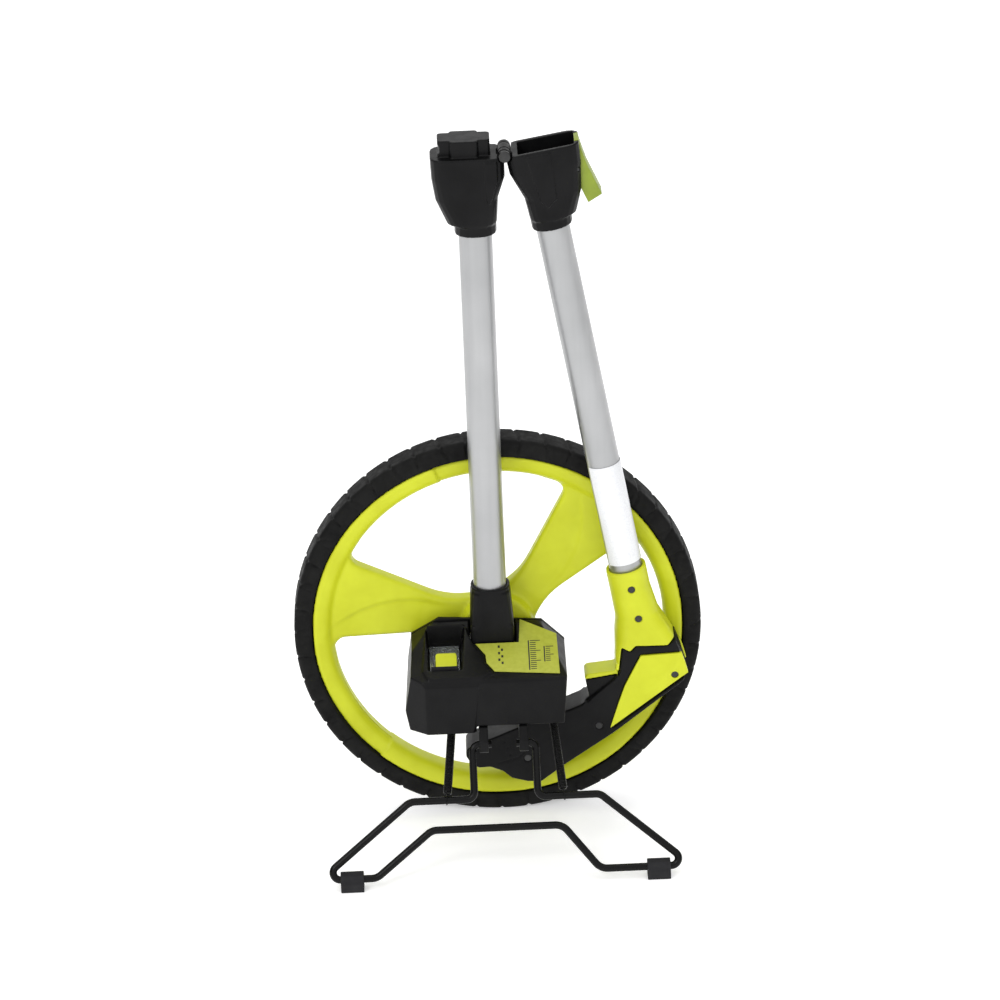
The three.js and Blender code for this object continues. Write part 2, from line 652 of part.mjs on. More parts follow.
function housingCover() {
  const outer = housingSolid(0, COVER_BACK);
  const inner = housingSolid(HOUSING_WALL, COVER_BACK);
  const [x0, x1, back, front] = RECESS;
  const recessOuter = box(
    x0 - recessWall,
    x1 + recessWall,
    front - recessWall,
    back + recessWall,
    WINDOW_FLOOR - 2,
    30,
  );
  const bosses = bossPlaces.map(([x, z]) => {
    const boss = rodY(4.5, COVER_BACK - BOSS_LENGTH, COVER_BACK, x, z, 12);
    return boss.intersect(outer);
  });
  const step = (x1, y0, y1, z0, z1) => box(-20, x1, y0, y1, z0, z1);
  const underside = step(
    HOUSING_RIGHT + 5,
    HOUSING_FRONT - 5,
    COVER_BACK + 5,
    HOUSING_BOTTOM - 5,
    HOUSING_STEP,
  );
  const stepWall = step(
    HOUSING_RIGHT - 1,
    HOUSING_FRONT + 1,
    COVER_BACK,
    HOUSING_STEP,
    HOUSING_STEP + HOUSING_WALL,
  );
  const shell = join(cut(outer, inner), recessOuter.intersect(outer), stepWall.intersect(outer), ...bosses);
  const notch = box(
    SOCKET.x0 - 1,
    SOCKET.x1 + 1,
    BLOCK_FRONT - 1,
    COVER_BACK + 1,
    SOCKET.foot - 1,
    30,
  );
  const holes = bossPlaces.map(([x, z]) => rodY(SCREW_RADIUS, COVER_BACK - BOSS_LENGTH + 3, 0, x, z, 8));
  return cut(
    shell,
    underside,
    notch,
    box(x0, x1, front, back, WINDOW_FLOOR, 30),
    box(x0 + 2.5, x1 - 2.5, DRUMS_FRONT, DRUMS_BACK, WINDOW_FLOOR - 5, WINDOW_FLOOR + 5),
    buttonHole(),
    ...holes,
  );
}

// The block that the lower tube stands in: it carries the axle's bushes inside the housing.
function tubeSocket() {
  const half = (COVER_BACK - BLOCK_FRONT) / 2;
  const blockY = (COVER_BACK + BLOCK_FRONT) / 2;
  const base = lofted(
    [
      { z: SOCKET.foot, x0: SOCKET.x0, x1: SOCKET.x1, half, radius: 3 },
      { z: TUBE_FOOT, x0: SOCKET.x0, x1: SOCKET.x1, half, radius: 3 },
    ],
    blockY,
  );
  const reach = TUBE_RADIUS + GAP + SOCKET_WALL;
  const tower = lofted([
    { z: TOP_AT_BACK + 2.5, x0: SOCKET.x0, x1: SOCKET.x1, half: reach, radius: 6 },
    { z: SOCKET_TOP - 4, x0: TUBE_X - reach - 0.4, x1: TUBE_X + reach + 0.8, half: reach, radius: 11 },
    { z: SOCKET_TOP - 3.5, x0: TUBE_X - reach, x1: TUBE_X + reach + 0.4, half: reach, radius: 12 },
    { z: SOCKET_TOP, x0: TUBE_X - reach, x1: TUBE_X + reach + 0.4, half: reach, radius: 12 },
  ]);
  const pocketDepth = GEAR_FRONT - 0.8;
  return cut(
    join(base, tower),
    rodZ(TUBE_RADIUS + GAP, TUBE_FOOT, SOCKET_TOP + 1, TUBE_X, TUBE_Y, 28),
    rodY(BUSH_RADIUS + GAP, AXLE_FRONT - GAP, COVER_BACK + 1),
    rodY(GEAR_PITCH_RADIUS + 2, pocketDepth, COVER_BACK + 1),
    rodY(GEAR_PITCH_RADIUS + 2, pocketDepth, COVER_BACK + 1, IDLER_X, IDLER_Z),
  );
}

function backPlate() {
  const plate = slabY(plateFace, PLATE_FRONT, HOUSING_BACK);
  const holes = bossPlaces.map(([x, z]) => {
    return rodY(SCREW_RADIUS + GAP, PLATE_FRONT - 1, HOUSING_BACK + 1, x, z, 8);
  });
  return cut(plate, rodY(COLLAR_RADIUS + 1, PLATE_FRONT - 1, HOUSING_BACK + 1), ...holes);
}

add(machine, "housing_cover", housingCover(), blackPlastic);
add(machine, "housing_back_plate", backPlate(), blackPlastic);
add(machine, "tube_socket", tubeSocket(), blackPlastic);
bossPlaces.forEach(([x, z], i) => {
  const head = rodY(3, HOUSING_BACK + GAP, HOUSING_BACK + 1.6, x, z, 12);
  const shank = rodY(SCREW_RADIUS - GAP, COVER_BACK - BOSS_LENGTH + 4, HOUSING_BACK + 1, x, z, 8);
  add(machine, `housing_screw_${i + 1}`, join(head, shank), steel);
});

const bushBack = GEAR_FRONT - 0.8 - GAP;
add(
  machine,
  "axle_bush_back",
  ringY(AXLE_RADIUS + GAP, BUSH_RADIUS, bushBack - BUSH_LENGTH, bushBack),
  brass,
);
add(
  machine,
  "axle_bush_front",
  ringY(AXLE_RADIUS + GAP, BUSH_RADIUS, AXLE_FRONT, AXLE_FRONT + BUSH_LENGTH),
  brass,
);

// The label plate lies on the sloping top, round the tube socket's notch: [x, y] seen from above.
function labelPlate() {
  const edge = BLOCK_FRONT - 2.5;
  const outline = [
    [SOCKET.x0 + 3.5, edge],
    [-10.8, -60.6],
    [-10.2, -69.5],
    [-4.3, -79],
    [45.9, -84],
    [45, -40.5],
    [SOCKET.x1 + 4.6, -23],
    [SOCKET.x1 + 3, edge],
  ];
  const thickness = 0.8;
  const drape = slabX(
    [
      [HOUSING_FRONT, topAt(HOUSING_FRONT) + GAP],
      [HOUSING_BACK, topAt(HOUSING_BACK) + GAP],
      [HOUSING_BACK, topAt(HOUSING_BACK) + GAP + thickness],
      [HOUSING_FRONT, topAt(HOUSING_FRONT) + GAP + thickness],
    ],
    HOUSING_LEFT,
    HOUSING_RIGHT,
  );
  return slabZ(outline, -50, 50).intersect(drape);
}

function windowLens() {
  const [x0, x1, back, front] = RECESS;
  const plate = box(x0 + 1, x1 - 1, front + 1, back - 0.8, WINDOW_FLOOR + GAP, WINDOW_FLOOR + 2);
  return cut(plate, buttonHole());
}

const buttonX = (BUTTON.x0 + BUTTON.x1) / 2;
const buttonY = (BUTTON.back + BUTTON.front) / 2;
const STEM_RADIUS = 2.5;
const springSeat = WINDOW_FLOOR - 14;

// A thumb button whose face slopes towards the front, on a stem that passes through its spring.
function resetButton() {
  const cap = slabX(
    [
      [BUTTON.front, WINDOW_FLOOR - 1.5],
      [BUTTON.back, WINDOW_FLOOR - 1.5],
      [BUTTON.back, WINDOW_FLOOR + 8],
      [BUTTON.back - 2, WINDOW_FLOOR + 9],
      [BUTTON.front, WINDOW_FLOOR + 3.2],
    ],
    BUTTON.x0,
    BUTTON.x1,
  );
  const corners = slabZ(
    roundedRectangle(BUTTON.x0, BUTTON.x1, BUTTON.front - 4, BUTTON.back, 4),
    WINDOW_FLOOR - 10,
    WINDOW_FLOOR + 20,
  );
  const stem = rodZ(STEM_RADIUS, springSeat + BUTTON_TRAVEL - 1, WINDOW_FLOOR, buttonX, buttonY, 12);
  return join(cap.intersect(corners), stem);
}

function tubeZ(inner, outer, z0, z1, x, y, sides = 24) {
  return cut(rodZ(outer, z0, z1, x, y, sides), rodZ(inner, z0 - 1, z1 + 1, x, y, sides));
}

add(machine, "label_plate", labelPlate(), labelFilm);
add(machine, "window_lens", windowLens(), clear);
add(machine, "reset_button", resetButton(), lime);
add(
  machine,
  "reset_spring",
  tubeZ(STEM_RADIUS + GAP, STEM_RADIUS + 1.3, springSeat, WINDOW_FLOOR - 1.5 - GAP, buttonX, buttonY, 12),
  steel,
);
// The bracket under the button holds the spring's foot and guides the stem.
add(
  machine,
  "reset_bracket",
  cut(
    box(buttonX - 7, buttonX + 7, buttonY - 5, buttonY + 5, springSeat - 1.5, springSeat - GAP),
    rodZ(STEM_RADIUS + GAP, springSeat - 5, springSeat + 5, buttonX, buttonY, 12),
  ),
  steel,
);

// ----------------------------------------------------------------------------------------------------
// Lower tube and its connector
// ----------------------------------------------------------------------------------------------------

const tubeTop = TUBE_FOOT + GAP + LOWER_TUBE_LENGTH;
add(
  machine,
  "lower_tube",
  tubeZ(TUBE_RADIUS - TUBE_WALL, TUBE_RADIUS, TUBE_FOOT + GAP, tubeTop, TUBE_X, TUBE_Y, 28),
  aluminium,
);

const knuckleGap = 0.6;
const middleFront = TUBE_Y - KNUCKLE_LENGTH / 2;
const middleBack = TUBE_Y + KNUCKLE_LENGTH / 2;
const barrelFront = TUBE_Y - BARREL_HALF_LENGTH;
const barrelBack = TUBE_Y + BARREL_HALF_LENGTH;

// The key that centres the upper connector: a cross in plan, with a groove for the latch's nose.
function key() {
  const left = HINGE_X - KEY_LEFT;
  const right = HINGE_X - KEY_RIGHT;
  const lobe = (x0, x1, half) => {
    const outline = roundedRectangle(x0, x1, TUBE_Y - half, TUBE_Y + half, 2.5);
    return slabZ(outline, MATE_Z - 1, MATE_Z + KEY_HEIGHT);
  };
  const wide = lobe(left, right, KEY_HALF_DEPTH - 3.5);
  const deep = lobe(left + 9, right - 9, KEY_HALF_DEPTH);
  const groove = box(left - 1, left + 1.5, TUBE_Y - 9, TUBE_Y + 9, MATE_Z + 3, MATE_Z + 9);
  return cut(join(wide, deep), groove);
}

function lowerConnector() {
  const low = CONNECTOR_BOTTOM;
  const wall = TUBE_RADIUS + GAP + 2.6;
  const right = HINGE_X - 0.2;
  const body = lofted([
    { z: low, x0: TUBE_X - wall, x1: TUBE_X + wall + 0.6, half: wall, radius: 14 },
    { z: low + 7, x0: TUBE_X - wall, x1: TUBE_X + wall + 0.6, half: wall, radius: 14 },
    { z: low + 9.5, x0: TUBE_X - wall - 5.5, x1: TUBE_X + wall + 1.2, half: wall + 0.8, radius: 12 },
    { z: low + 29, x0: TUBE_X - wall - 13.5, x1: TUBE_X + wall + 2.6, half: wall + 1.5, radius: 11 },
    { z: low + 46, x0: TUBE_X - wall - 15.8, x1: right, half: CONNECTOR_HALF_DEPTH, radius: 10 },
    { z: MATE_Z, x0: TUBE_X - wall - 16.4, x1: right, half: CONNECTOR_HALF_DEPTH, radius: 10 },
  ]);
  const frontKnuckle = rodY(KNUCKLE_RADIUS, barrelFront, middleFront - knuckleGap, HINGE_X, HINGE_Z, 20);
  const backKnuckle = rodY(KNUCKLE_RADIUS, middleBack + knuckleGap, barrelBack, HINGE_X, HINGE_Z, 20);
  return cut(
    join(body, key(), frontKnuckle, backKnuckle),
    rodZ(TUBE_RADIUS + GAP, low - 1, tubeTop + GAP, TUBE_X, TUBE_Y, 28),
    rodY(PIN_RADIUS + GAP, barrelFront - 5, barrelBack + 5, HINGE_X, HINGE_Z, 16),
    rodY(KNUCKLE_RADIUS, barrelFront - 9, barrelFront, HINGE_X, HINGE_Z, 20),
    rodY(KNUCKLE_RADIUS, barrelBack, barrelBack + 9, HINGE_X, HINGE_Z, 20),
    rodY(KNUCKLE_RADIUS + 0.6, middleFront - knuckleGap, middleBack + knuckleGap, HINGE_X, HINGE_Z, 20),
  );
}

function hingePin() {
  const shank = rodY(PIN_RADIUS, barrelFront - 2, barrelBack + 2.5, HINGE_X, HINGE_Z, 16);
  const head = rodY(KNUCKLE_RADIUS - 0.4, barrelFront - 3.5, barrelFront - GAP, HINGE_X, HINGE_Z, 20);
  const rivet = rodY(PIN_RADIUS + 1.2, barrelBack + GAP, barrelBack + 2.8, HINGE_X, HINGE_Z, 16);
  return join(shank, head, rivet);
}

add(machine, "lower_connector", lowerConnector(), blackPlastic);
add(machine, "hinge_pin", hingePin(), steel);

// ----------------------------------------------------------------------------------------------------
// Upper tube, its connector and latch: in the arm's own frame, the pin at the origin and the tube along -Z
// ----------------------------------------------------------------------------------------------------

const ARM_X = HINGE_OFFSET;
const armMate = -MATING_GAP / 2;
const socketFloor = -(KEY_HEIGHT - armMate + 0.9);
const armTubeTop = socketFloor - 2.8;
const LATCH_HALF_WIDTH = 8;
const LATCH_PIVOT = [51.5, -21.5];

function upperConnector() {
  const wall = TUBE_RADIUS + GAP + 2.4;
  const low = armTubeTop - SOCKET_DEPTH;
  const body = lofted([
    { z: low, x0: ARM_X - wall, x1: ARM_X + wall, half: wall, radius: 14 },
    { z: low + 7, x0: ARM_X - wall, x1: ARM_X + wall + 0.5, half: wall, radius: 14 },
    { z: low + 9, x0: ARM_X - wall, x1: ARM_X + wall + 5, half: wall + 0.8, radius: 12 },
    { z: low + 27, x0: ARM_X - wall - 0.8, x1: 52, half: wall + 1.5, radius: 11 },
    { z: -16.5, x0: 0.8, x1: 55.5, half: CONNECTOR_HALF_DEPTH, radius: 10 },
    { z: armMate, x0: 0.3, x1: 57, half: CONNECTOR_HALF_DEPTH, radius: 10 },
  ]);
  const knuckle = rodY(KNUCKLE_RADIUS, middleFront, middleBack, 0, 0, 20);
  const room = 0.6;
  const socket = box(
    KEY_RIGHT - room,
    KEY_LEFT + 2.8,
    TUBE_Y - KEY_HALF_DEPTH - room,
    TUBE_Y + KEY_HALF_DEPTH + room,
    socketFloor,
    armMate + 5,
  );
  const latchRoom = LATCH_HALF_WIDTH + 0.5;
  const latchCut = (x0, z0, z1) => box(x0, 70, TUBE_Y - latchRoom, TUBE_Y + latchRoom, z0, z1);
  const recess = latchCut(KEY_LEFT - 3.5, -44, socketFloor - 2);
  const slot = latchCut(KEY_LEFT + 1, -22, armMate + 5);
  return cut(
    join(body, knuckle),
    socket,
    recess,
    slot,
    rodZ(TUBE_RADIUS + GAP, low - 1, armTubeTop + GAP, ARM_X, TUBE_Y, 28),
    rodY(PIN_RADIUS + GAP, barrelFront - 5, barrelBack + 5, 0, 0, 16),
    rodY(KNUCKLE_RADIUS + 0.6, barrelFront - 9, middleFront, 0, 0, 20),
    rodY(KNUCKLE_RADIUS + 0.6, middleBack, barrelBack + 9, 0, 0, 20),
    rodY(1.5 + GAP, TUBE_Y - 14, TUBE_Y + 14, ...LATCH_PIVOT, 12),
  );
}

// A rocker: pressing its lower end towards the tube swings its nose off the key.
function latchLever() {
  const outline = [
    [KEY_LEFT + 3.2, armMate],
    [56.4, armMate + 0.4],
    [57.2, -8],
    [59, -21],
    [65.5, -46.5],
    [54.2, -51],
    [50.9, -38],
    [48.8, -26],
    [49.4, -21.5],
    [53.6, -16.5],
    [54.6, -6],
    [KEY_LEFT + 3.2, -5],
  ];
  const lever = slabY(outline, TUBE_Y - LATCH_HALF_WIDTH, TUBE_Y + LATCH_HALF_WIDTH);
  return cut(lever, rodY(1.5 + GAP, TUBE_Y - 20, TUBE_Y + 20, ...LATCH_PIVOT, 12));
}

add(arm, "upper_connector", upperConnector(), blackPlastic);
add(arm, "latch_lever", latchLever(), lime);
add(arm, "latch_pin", rodY(1.5, TUBE_Y - 13.5, TUBE_Y + 13.5, ...LATCH_PIVOT, 12), steel);
add(arm, "latch_spring", rodX(2, KEY_LEFT - 3.5 + GAP, 49.3, TUBE_Y, -34), steel);

// ----------------------------------------------------------------------------------------------------
// Grip: outlines are [distance down the arm from the grip's start, distance across from the tube's middle]
// ----------------------------------------------------------------------------------------------------

const cornerRadius = Math.hypot(HINGE_X - HOUSING_RIGHT, HINGE_Z - HOUSING_STEP);
const GRIP_NECK = 106.8; // from the grip's start to the inner side of its handle
const gripStart = cornerRadius + GRIP_CLEARANCE - GRIP_NECK;
const gripSeat = 34; // of the tube in the neck
const onGrip = ([down, across]) => [ARM_X + across, -gripStart - down];
const gripSlab = (outline, y0, y1) => slabY(outline.map(onGrip), y0, y1);
const UPPER_TUBE_LENGTH = gripStart + gripSeat + armTubeTop;

const collar = TUBE_RADIUS + 2.9;
const neckOutline = [
  [0, -collar],
  [39, -collar - 0.1],
  [52, -18.9],
  [76, -23],
  [82, -24.5],
  [80.5, -46.5],
  [82, -48.8],
  [84.5, -49.2],
  [85, -23],
  [61.5, -15.8],
  [66.2, -10],
  [62.3, -4.9],
  [66.8, 19.6],
  [63, 26],
  [40, collar + 2.4],
  [18, collar],
  [0, collar],
];
const handleOutline = [
  [62.1, -15.1],
  [85.6, -22.6],
  [85.1, -49],
  [99.5, -48.7],
  [104, -56],
  [106.5, -67],
  [110, -95],
  [117.8, -129.5],
  [120.5, -146],
  [123.5, -151.5],
  [129, -153],
  [137, -150],
  [141, -145],
  [142, -136],
  [147.5, -127.4],
  [155, -121.6],
  [160.4, -110.3],
  [162.8, -99.3],
  [152.5, -79.2],
  [132.8, -35.2],
  [100.2, 26],
  [93, 30.2],
  [76, 28.6],
  [64.5, 26.4],
  [67.6, 19.9],
  [63.1, -4.4],
  [67.2, -9.9],
];
const heelOutline = [
  [71.6, -2.4],
  [75.6, 29.2],
  [84.6, 30.4],
  [93, 31],
  [98, 25.6],
  [129.5, -36.5],
  [109.3, -27.8],
  [94.5, -19.6],
];
const gripScrews = [
  [14.5, 1.2],
  [40, 1.8],
  [93, 20.5],
  [124.8, -45.8],
  [140.6, -105.9],
];
const HEEL_DEPTH = 2.5;

const neckFront = TUBE_Y - GRIP_HALF_WIDTH;
const neckBack = TUBE_Y + GRIP_HALF_WIDTH;
const handleFront = TUBE_Y - HANDLE_HALF_WIDTH;
const handleBack = TUBE_Y + HANDLE_HALF_WIDTH;
const HEAD_RADIUS = 2.7;
const HEAD_SUNK = 0.9; // top of a screw's head under the shell's face
const HEAD_HEIGHT = 1.3;
const parting = GAP / 2;
const screwFace = (i) => {
  if (i < 2) return neckFront;
  return i === 2 ? handleFront - 1 : handleFront;
};

// A screw's clearance: a hole right through, with a well for its head at the front.
function screwHole(place, i) {
  const [x, z] = onGrip(place);
  const wellFloor = screwFace(i) + HEAD_SUNK + HEAD_HEIGHT + GAP;
  const well = rodY(HEAD_RADIUS + GAP, TUBE_Y - 30, wellFloor, x, z, 16);
  return join(rodY(SCREW_RADIUS + GAP, TUBE_Y - 30, TUBE_Y + 30, x, z, 10), well);
}

const holes = gripScrews.map(screwHole);
const tubeBore = rodZ(
  TUBE_RADIUS + GAP,
  -gripStart - gripSeat - GAP,
  -gripStart + 5,
  ARM_X,
  TUBE_Y,
  28,
);
// The finger guard is narrower than the rest of the grip.
const guardZone = [
  [80, -19],
  [80, -52],
  [103.5, -52],
  [99, -46],
  [88, -27],
];
const guardCheeks = [
  gripSlab(guardZone, TUBE_Y - 30, TUBE_Y - GUARD_HALF_WIDTH),
  gripSlab(guardZone, TUBE_Y + GUARD_HALF_WIDTH, TUBE_Y + 30),
];

function neckShell(y0, y1) {
  return cut(gripSlab(neckOutline, y0, y1), tubeBore, ...guardCheeks, ...holes.slice(0, 2));
}

function handleShell(y0, y1, heelY0, heelY1) {
  const pocket = slabY(inset(heelOutline.map(onGrip), -GAP), heelY0, heelY1);
  return cut(gripSlab(handleOutline, y0, y1), pocket, ...guardCheeks, ...holes.slice(2));
}

const [tubeHoleX, tubeHoleZ] = onGrip(gripScrews[0]);
const tubeHole = rodY(SCREW_RADIUS + GAP, TUBE_Y - 30, TUBE_Y + 30, tubeHoleX, tubeHoleZ, 10);
add(
  arm,
  "upper_tube",
  cut(
    tubeZ(
      TUBE_RADIUS - TUBE_WALL,
      TUBE_RADIUS,
      armTubeTop - UPPER_TUBE_LENGTH,
      armTubeTop,
      ARM_X,
      TUBE_Y,
      28,
    ),
    tubeHole,
  ),
  aluminium,
);
add(arm, "neck_shell_front", neckShell(neckFront, TUBE_Y - parting), lime);
add(arm, "neck_shell_back", neckShell(TUBE_Y + parting, neckBack), lime);
add(
  arm,
  "handle_shell_front",
  handleShell(handleFront, TUBE_Y - parting, handleFront - 1, handleFront + HEEL_DEPTH),
  blackPlastic,
);
add(
  arm,
  "handle_shell_back",
  handleShell(TUBE_Y + parting, handleBack, handleBack - HEEL_DEPTH, handleBack + 1),
  blackPlastic,
);
add(
  arm,
  "heel_panel_front",
  cut(gripSlab(heelOutline, handleFront - 1, handleFront + HEEL_DEPTH - GAP), holes[2]),
  lime,
);
add(
  arm,
  "heel_panel_back",
  cut(gripSlab(heelOutline, handleBack - HEEL_DEPTH + GAP, handleBack + 1), holes[2]),
  lime,
);
gripScrews.forEach((place, i) => {
  const [x, z] = onGrip(place);
  const top = screwFace(i) + HEAD_SUNK;
  const head = rodY(HEAD_RADIUS, top, top + HEAD_HEIGHT, x, z, 16);
  const shank = rodY(SCREW_RADIUS, top, TUBE_Y + 9, x, z, 10);
  add(arm, `grip_screw_${i + 1}`, join(head, shank), steel);
});

// A retroreflective band round part of the upper tube.
function reflector() {
  const inner = TUBE_RADIUS + GAP;
  const outer = inner + 0.4;
  const steps = 14;
  const from = -150;
  const to = 20;
  const arc = (radius) =>
    Array.from({ length: steps + 1 }, (_, i) => {
      const angle = radians(from + ((to - from) * i) / steps);
      return [ARM_X + radius * Math.cos(angle), TUBE_Y + radius * Math.sin(angle)];
    });
  return slabZ([...arc(outer), ...arc(inner).reverse()], -gripStart + 6, -gripStart + 90);
}

add(arm, "reflector_band", reflector(), reflective);

// ----------------------------------------------------------------------------------------------------
// Stand: one bent wire in a leaning plane. Its corners are [x, distance down from the pivot, bend radius].
// ----------------------------------------------------------------------------------------------------

const footHeight = 8.6; // of the wire's centre over the ground
const standLength = (AXLE_Z + STAND_PIVOT_Z - footHeight) / Math.cos(radians(STAND_LEAN));
const REAR_DROP = 42; // along the stand from its pivot to its rear bars
const CROSSBAR_RISE = 35; // along the stand from its feet to the bar between them
const onStand = (x, down) =>
  new THREE.Vector3(
    x,
    STAND_PIVOT_Y - down * Math.sin(radians(STAND_LEAN)),
    STAND_PIVOT_Z - down * Math.cos(radians(STAND_LEAN)),
  );
const LEG_LEFT = -24;
const LEG_RIGHT = 25;
const standEnd = 15; // of the wire's turned-in ends
const standCorners = [
  [LEG_LEFT + standEnd, 0, 0],
  [LEG_LEFT, 0, 5],
  [LEG_LEFT, REAR_DROP, 6],
  [-74, REAR_DROP, 12],
  [-146, standLength, 5.6],
  [-102, standLength, 12],
  [-58, standLength - CROSSBAR_RISE, 12],
  [43, standLength - CROSSBAR_RISE, 12],
  [71, standLength, 12],
  [141, standLength, 5.6],
  [73, REAR_DROP, 9],
  [LEG_RIGHT, REAR_DROP, 6],
  [LEG_RIGHT, 0, 5],
  [LEG_RIGHT - standEnd, 0, 0],
];
const standRoute = roundedRoute(standCorners.map(([x, down, radius]) => [onStand(x, down), radius]));

add(machine, "kickstand", wire(standRoute, STAND_WIRE), blackWire);

const footY = onStand(0, standLength).y;
const standSleeve = wire(standRoute, STAND_WIRE + 2 * GAP);
for (const [name, x0] of [
  ["stand_foot_left", -130],
  ["stand_foot_right", 107],
]) {
  const [footFront, footBack] = [footY - FOOT_DEPTH / 2, footY + FOOT_DEPTH / 2];
  const pad = box(x0, x0 + FOOT_WIDTH, footFront, footBack, -AXLE_Z, -AXLE_Z + FOOT_HEIGHT);
  add(machine, name, cut(pad, standSleeve), rubber);
}

// Brackets under the housing's front edge, in which the wire's ends turn.
function standBracket(x0, x1, bottom) {
  const reach = 5.5;
  const outline = [
    [STAND_PIVOT_Y - reach + 1.5, STAND_PIVOT_Z - reach],
    [STAND_PIVOT_Y + reach, STAND_PIVOT_Z - reach],
    [HOUSING_FRONT + 16, bottom - GAP],
    [HOUSING_FRONT + 0.4, bottom - GAP],
    [STAND_PIVOT_Y - reach, STAND_PIVOT_Z + reach - 1.5],
    [STAND_PIVOT_Y - reach, STAND_PIVOT_Z - reach + 1.5],
  ];
  const hole = rodX(STAND_WIRE / 2 + GAP, x0 - 1, x1 + 1, STAND_PIVOT_Y, STAND_PIVOT_Z, 16);
  return cut(slabX(outline, x0, x1), hole);
}

const BRACKET_WIDTH = 7;
const bracketLeft = LEG_LEFT + 5.5;
const bracketRight = LEG_RIGHT - 5.5 - BRACKET_WIDTH;
for (const [name, x0] of [
  ["stand_bracket_left", bracketLeft],
  ["stand_bracket_right", bracketRight],
]) {
  add(machine, name, standBracket(x0, x0 + BRACKET_WIDTH, HOUSING_STEP), blackPlastic);
}

// Springs that hold the stand in either end position, as plain cylinders from hooks to the rear bars.
const SPRING_TOP = [39, -62];
const SPRING_FOOT_X = 45.3;
for (const [name, side, bottom] of [
  ["stand_spring_left", -1, HOUSING_BOTTOM],
  ["stand_spring_right", 1, HOUSING_STEP],
]) {
  const top = new THREE.Vector3(side * SPRING_TOP[0], SPRING_TOP[1], bottom - 6);
  const foot = onStand(side * SPRING_FOOT_X, REAR_DROP);
  const along = foot.clone().sub(top).normalize();
  foot.addScaledVector(along, -STAND_WIRE / 2 - 1);
  add(machine, name, wire([top, foot], 2 * SPRING_RADIUS, 10), blackWire);
  const hook = rodZ(1.8, bottom - 5, bottom - GAP, top.x, top.y + 5, 10);
  add(machine, name.replace("spring", "hook"), hook, blackWire);
}

export default part;
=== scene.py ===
"""Looks for the folding measuring wheel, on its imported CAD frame. Metres, +Z up, -Y is the counter side."""
import json
import math

import bmesh
import bpy
from mathutils import Matrix, Vector


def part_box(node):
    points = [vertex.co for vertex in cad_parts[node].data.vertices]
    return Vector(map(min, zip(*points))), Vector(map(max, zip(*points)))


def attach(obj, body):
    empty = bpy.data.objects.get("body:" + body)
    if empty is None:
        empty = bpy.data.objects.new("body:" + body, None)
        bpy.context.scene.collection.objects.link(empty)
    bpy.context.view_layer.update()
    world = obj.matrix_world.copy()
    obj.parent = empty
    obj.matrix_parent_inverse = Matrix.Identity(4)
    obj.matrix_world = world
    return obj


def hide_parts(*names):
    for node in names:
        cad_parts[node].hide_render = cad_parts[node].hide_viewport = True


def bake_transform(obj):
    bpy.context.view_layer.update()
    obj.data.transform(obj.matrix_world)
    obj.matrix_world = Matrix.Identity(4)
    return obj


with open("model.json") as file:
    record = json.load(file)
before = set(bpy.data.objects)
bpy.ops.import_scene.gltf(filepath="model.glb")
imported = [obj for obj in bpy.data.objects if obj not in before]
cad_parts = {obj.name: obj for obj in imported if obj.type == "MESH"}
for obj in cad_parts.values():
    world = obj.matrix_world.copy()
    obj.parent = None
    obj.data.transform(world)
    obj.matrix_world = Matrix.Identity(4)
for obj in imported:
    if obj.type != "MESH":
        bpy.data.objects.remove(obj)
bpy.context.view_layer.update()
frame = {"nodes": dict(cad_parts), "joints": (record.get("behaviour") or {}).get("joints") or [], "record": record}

MM = 0.001

# --------------------------------------------------------------------------------------------------
# Camera and the CAD's own places
# --------------------------------------------------------------------------------------------------

CAMERA_PLACE = (-0.0278, -3.9811, 2.0324)
CAMERA_TARGET = (0.0058, 0.0, 0.2623)
CAMERA_ROLL = 2.3  # degrees, clockwise
CAMERA_LENS = 202.0  # mm, on a 36 mm sensor

JOINTS = {joint["name"]: joint for joint in frame["joints"]}
WHEEL_RADIUS = JOINTS["wheel_spin"]["pos_m"][2]
AXLE = Vector((0, 0, WHEEL_RADIUS))
HINGE = Vector(JOINTS["arm_fold"]["pos_m"])
STAND_PIVOT = Vector(JOINTS["stand_swing"]["pos_m"])
FOLD_ANGLE = math.radians(9.4)
TUBE_Y = -31 * MM
TUBE_RADIUS = 12.7 * MM
TUBE_WALL = 1.2 * MM
ARM = Matrix.Translation((HINGE.x, 0, HINGE.z)) @ Matrix.Rotation(-FOLD_ANGLE, 4, "Y")
ARM_X = 24 * MM  # the upper tube's centre line in the arm's frame

SPOKE_ANGLES = (168, 48, -72)
SPOKE_TAPER = math.radians(13.5)  # of each side of a spoke
SPOKE_APEX = 14.4 * MM  # where a spoke's sides would meet, beyond the axle
SPOKE_FLARE = 60 * MM  # where two spokes run together at the hub
CREASE_START = 38 * MM  # from the axle
CREASE_LENGTH = 88 * MM
CREASE_DEPTH = 2.2 * MM
TYRE_DEPTH = 14 * MM
RIM_DEPTH = 15.5 * MM
HUB_RADIUS = 28 * MM
HUB_HALF = 15.4 * MM
WEB_HALF = 8 * MM
TREAD_PITCHES = 48
TREAD_DEPTH = 1.3 * MM
TREAD_REACH = 9.5 * MM  # of the grooves down the tyre's sides

HOUSING_FRONT = -90 * MM
HOUSING_BACK = -17 * MM
TOP_SLOPE = math.radians(16.8)
TOP_AT_BACK = 12 * MM
SEAM_DEPTH = 1.4 * MM
HOOD_HEIGHT = 1.7 * MM
HOOD_ROOT = 6 * MM
LABEL_FACE = 1.1 * MM  # over the housing's top
INK_THICKNESS = 0.06 * MM
DRUM_RADIUS = 9 * MM
DIGIT_SIZE = 4.2 * MM
PANEL_DEPTH = 1.9 * MM  # of the raised panels on the hinge connectors

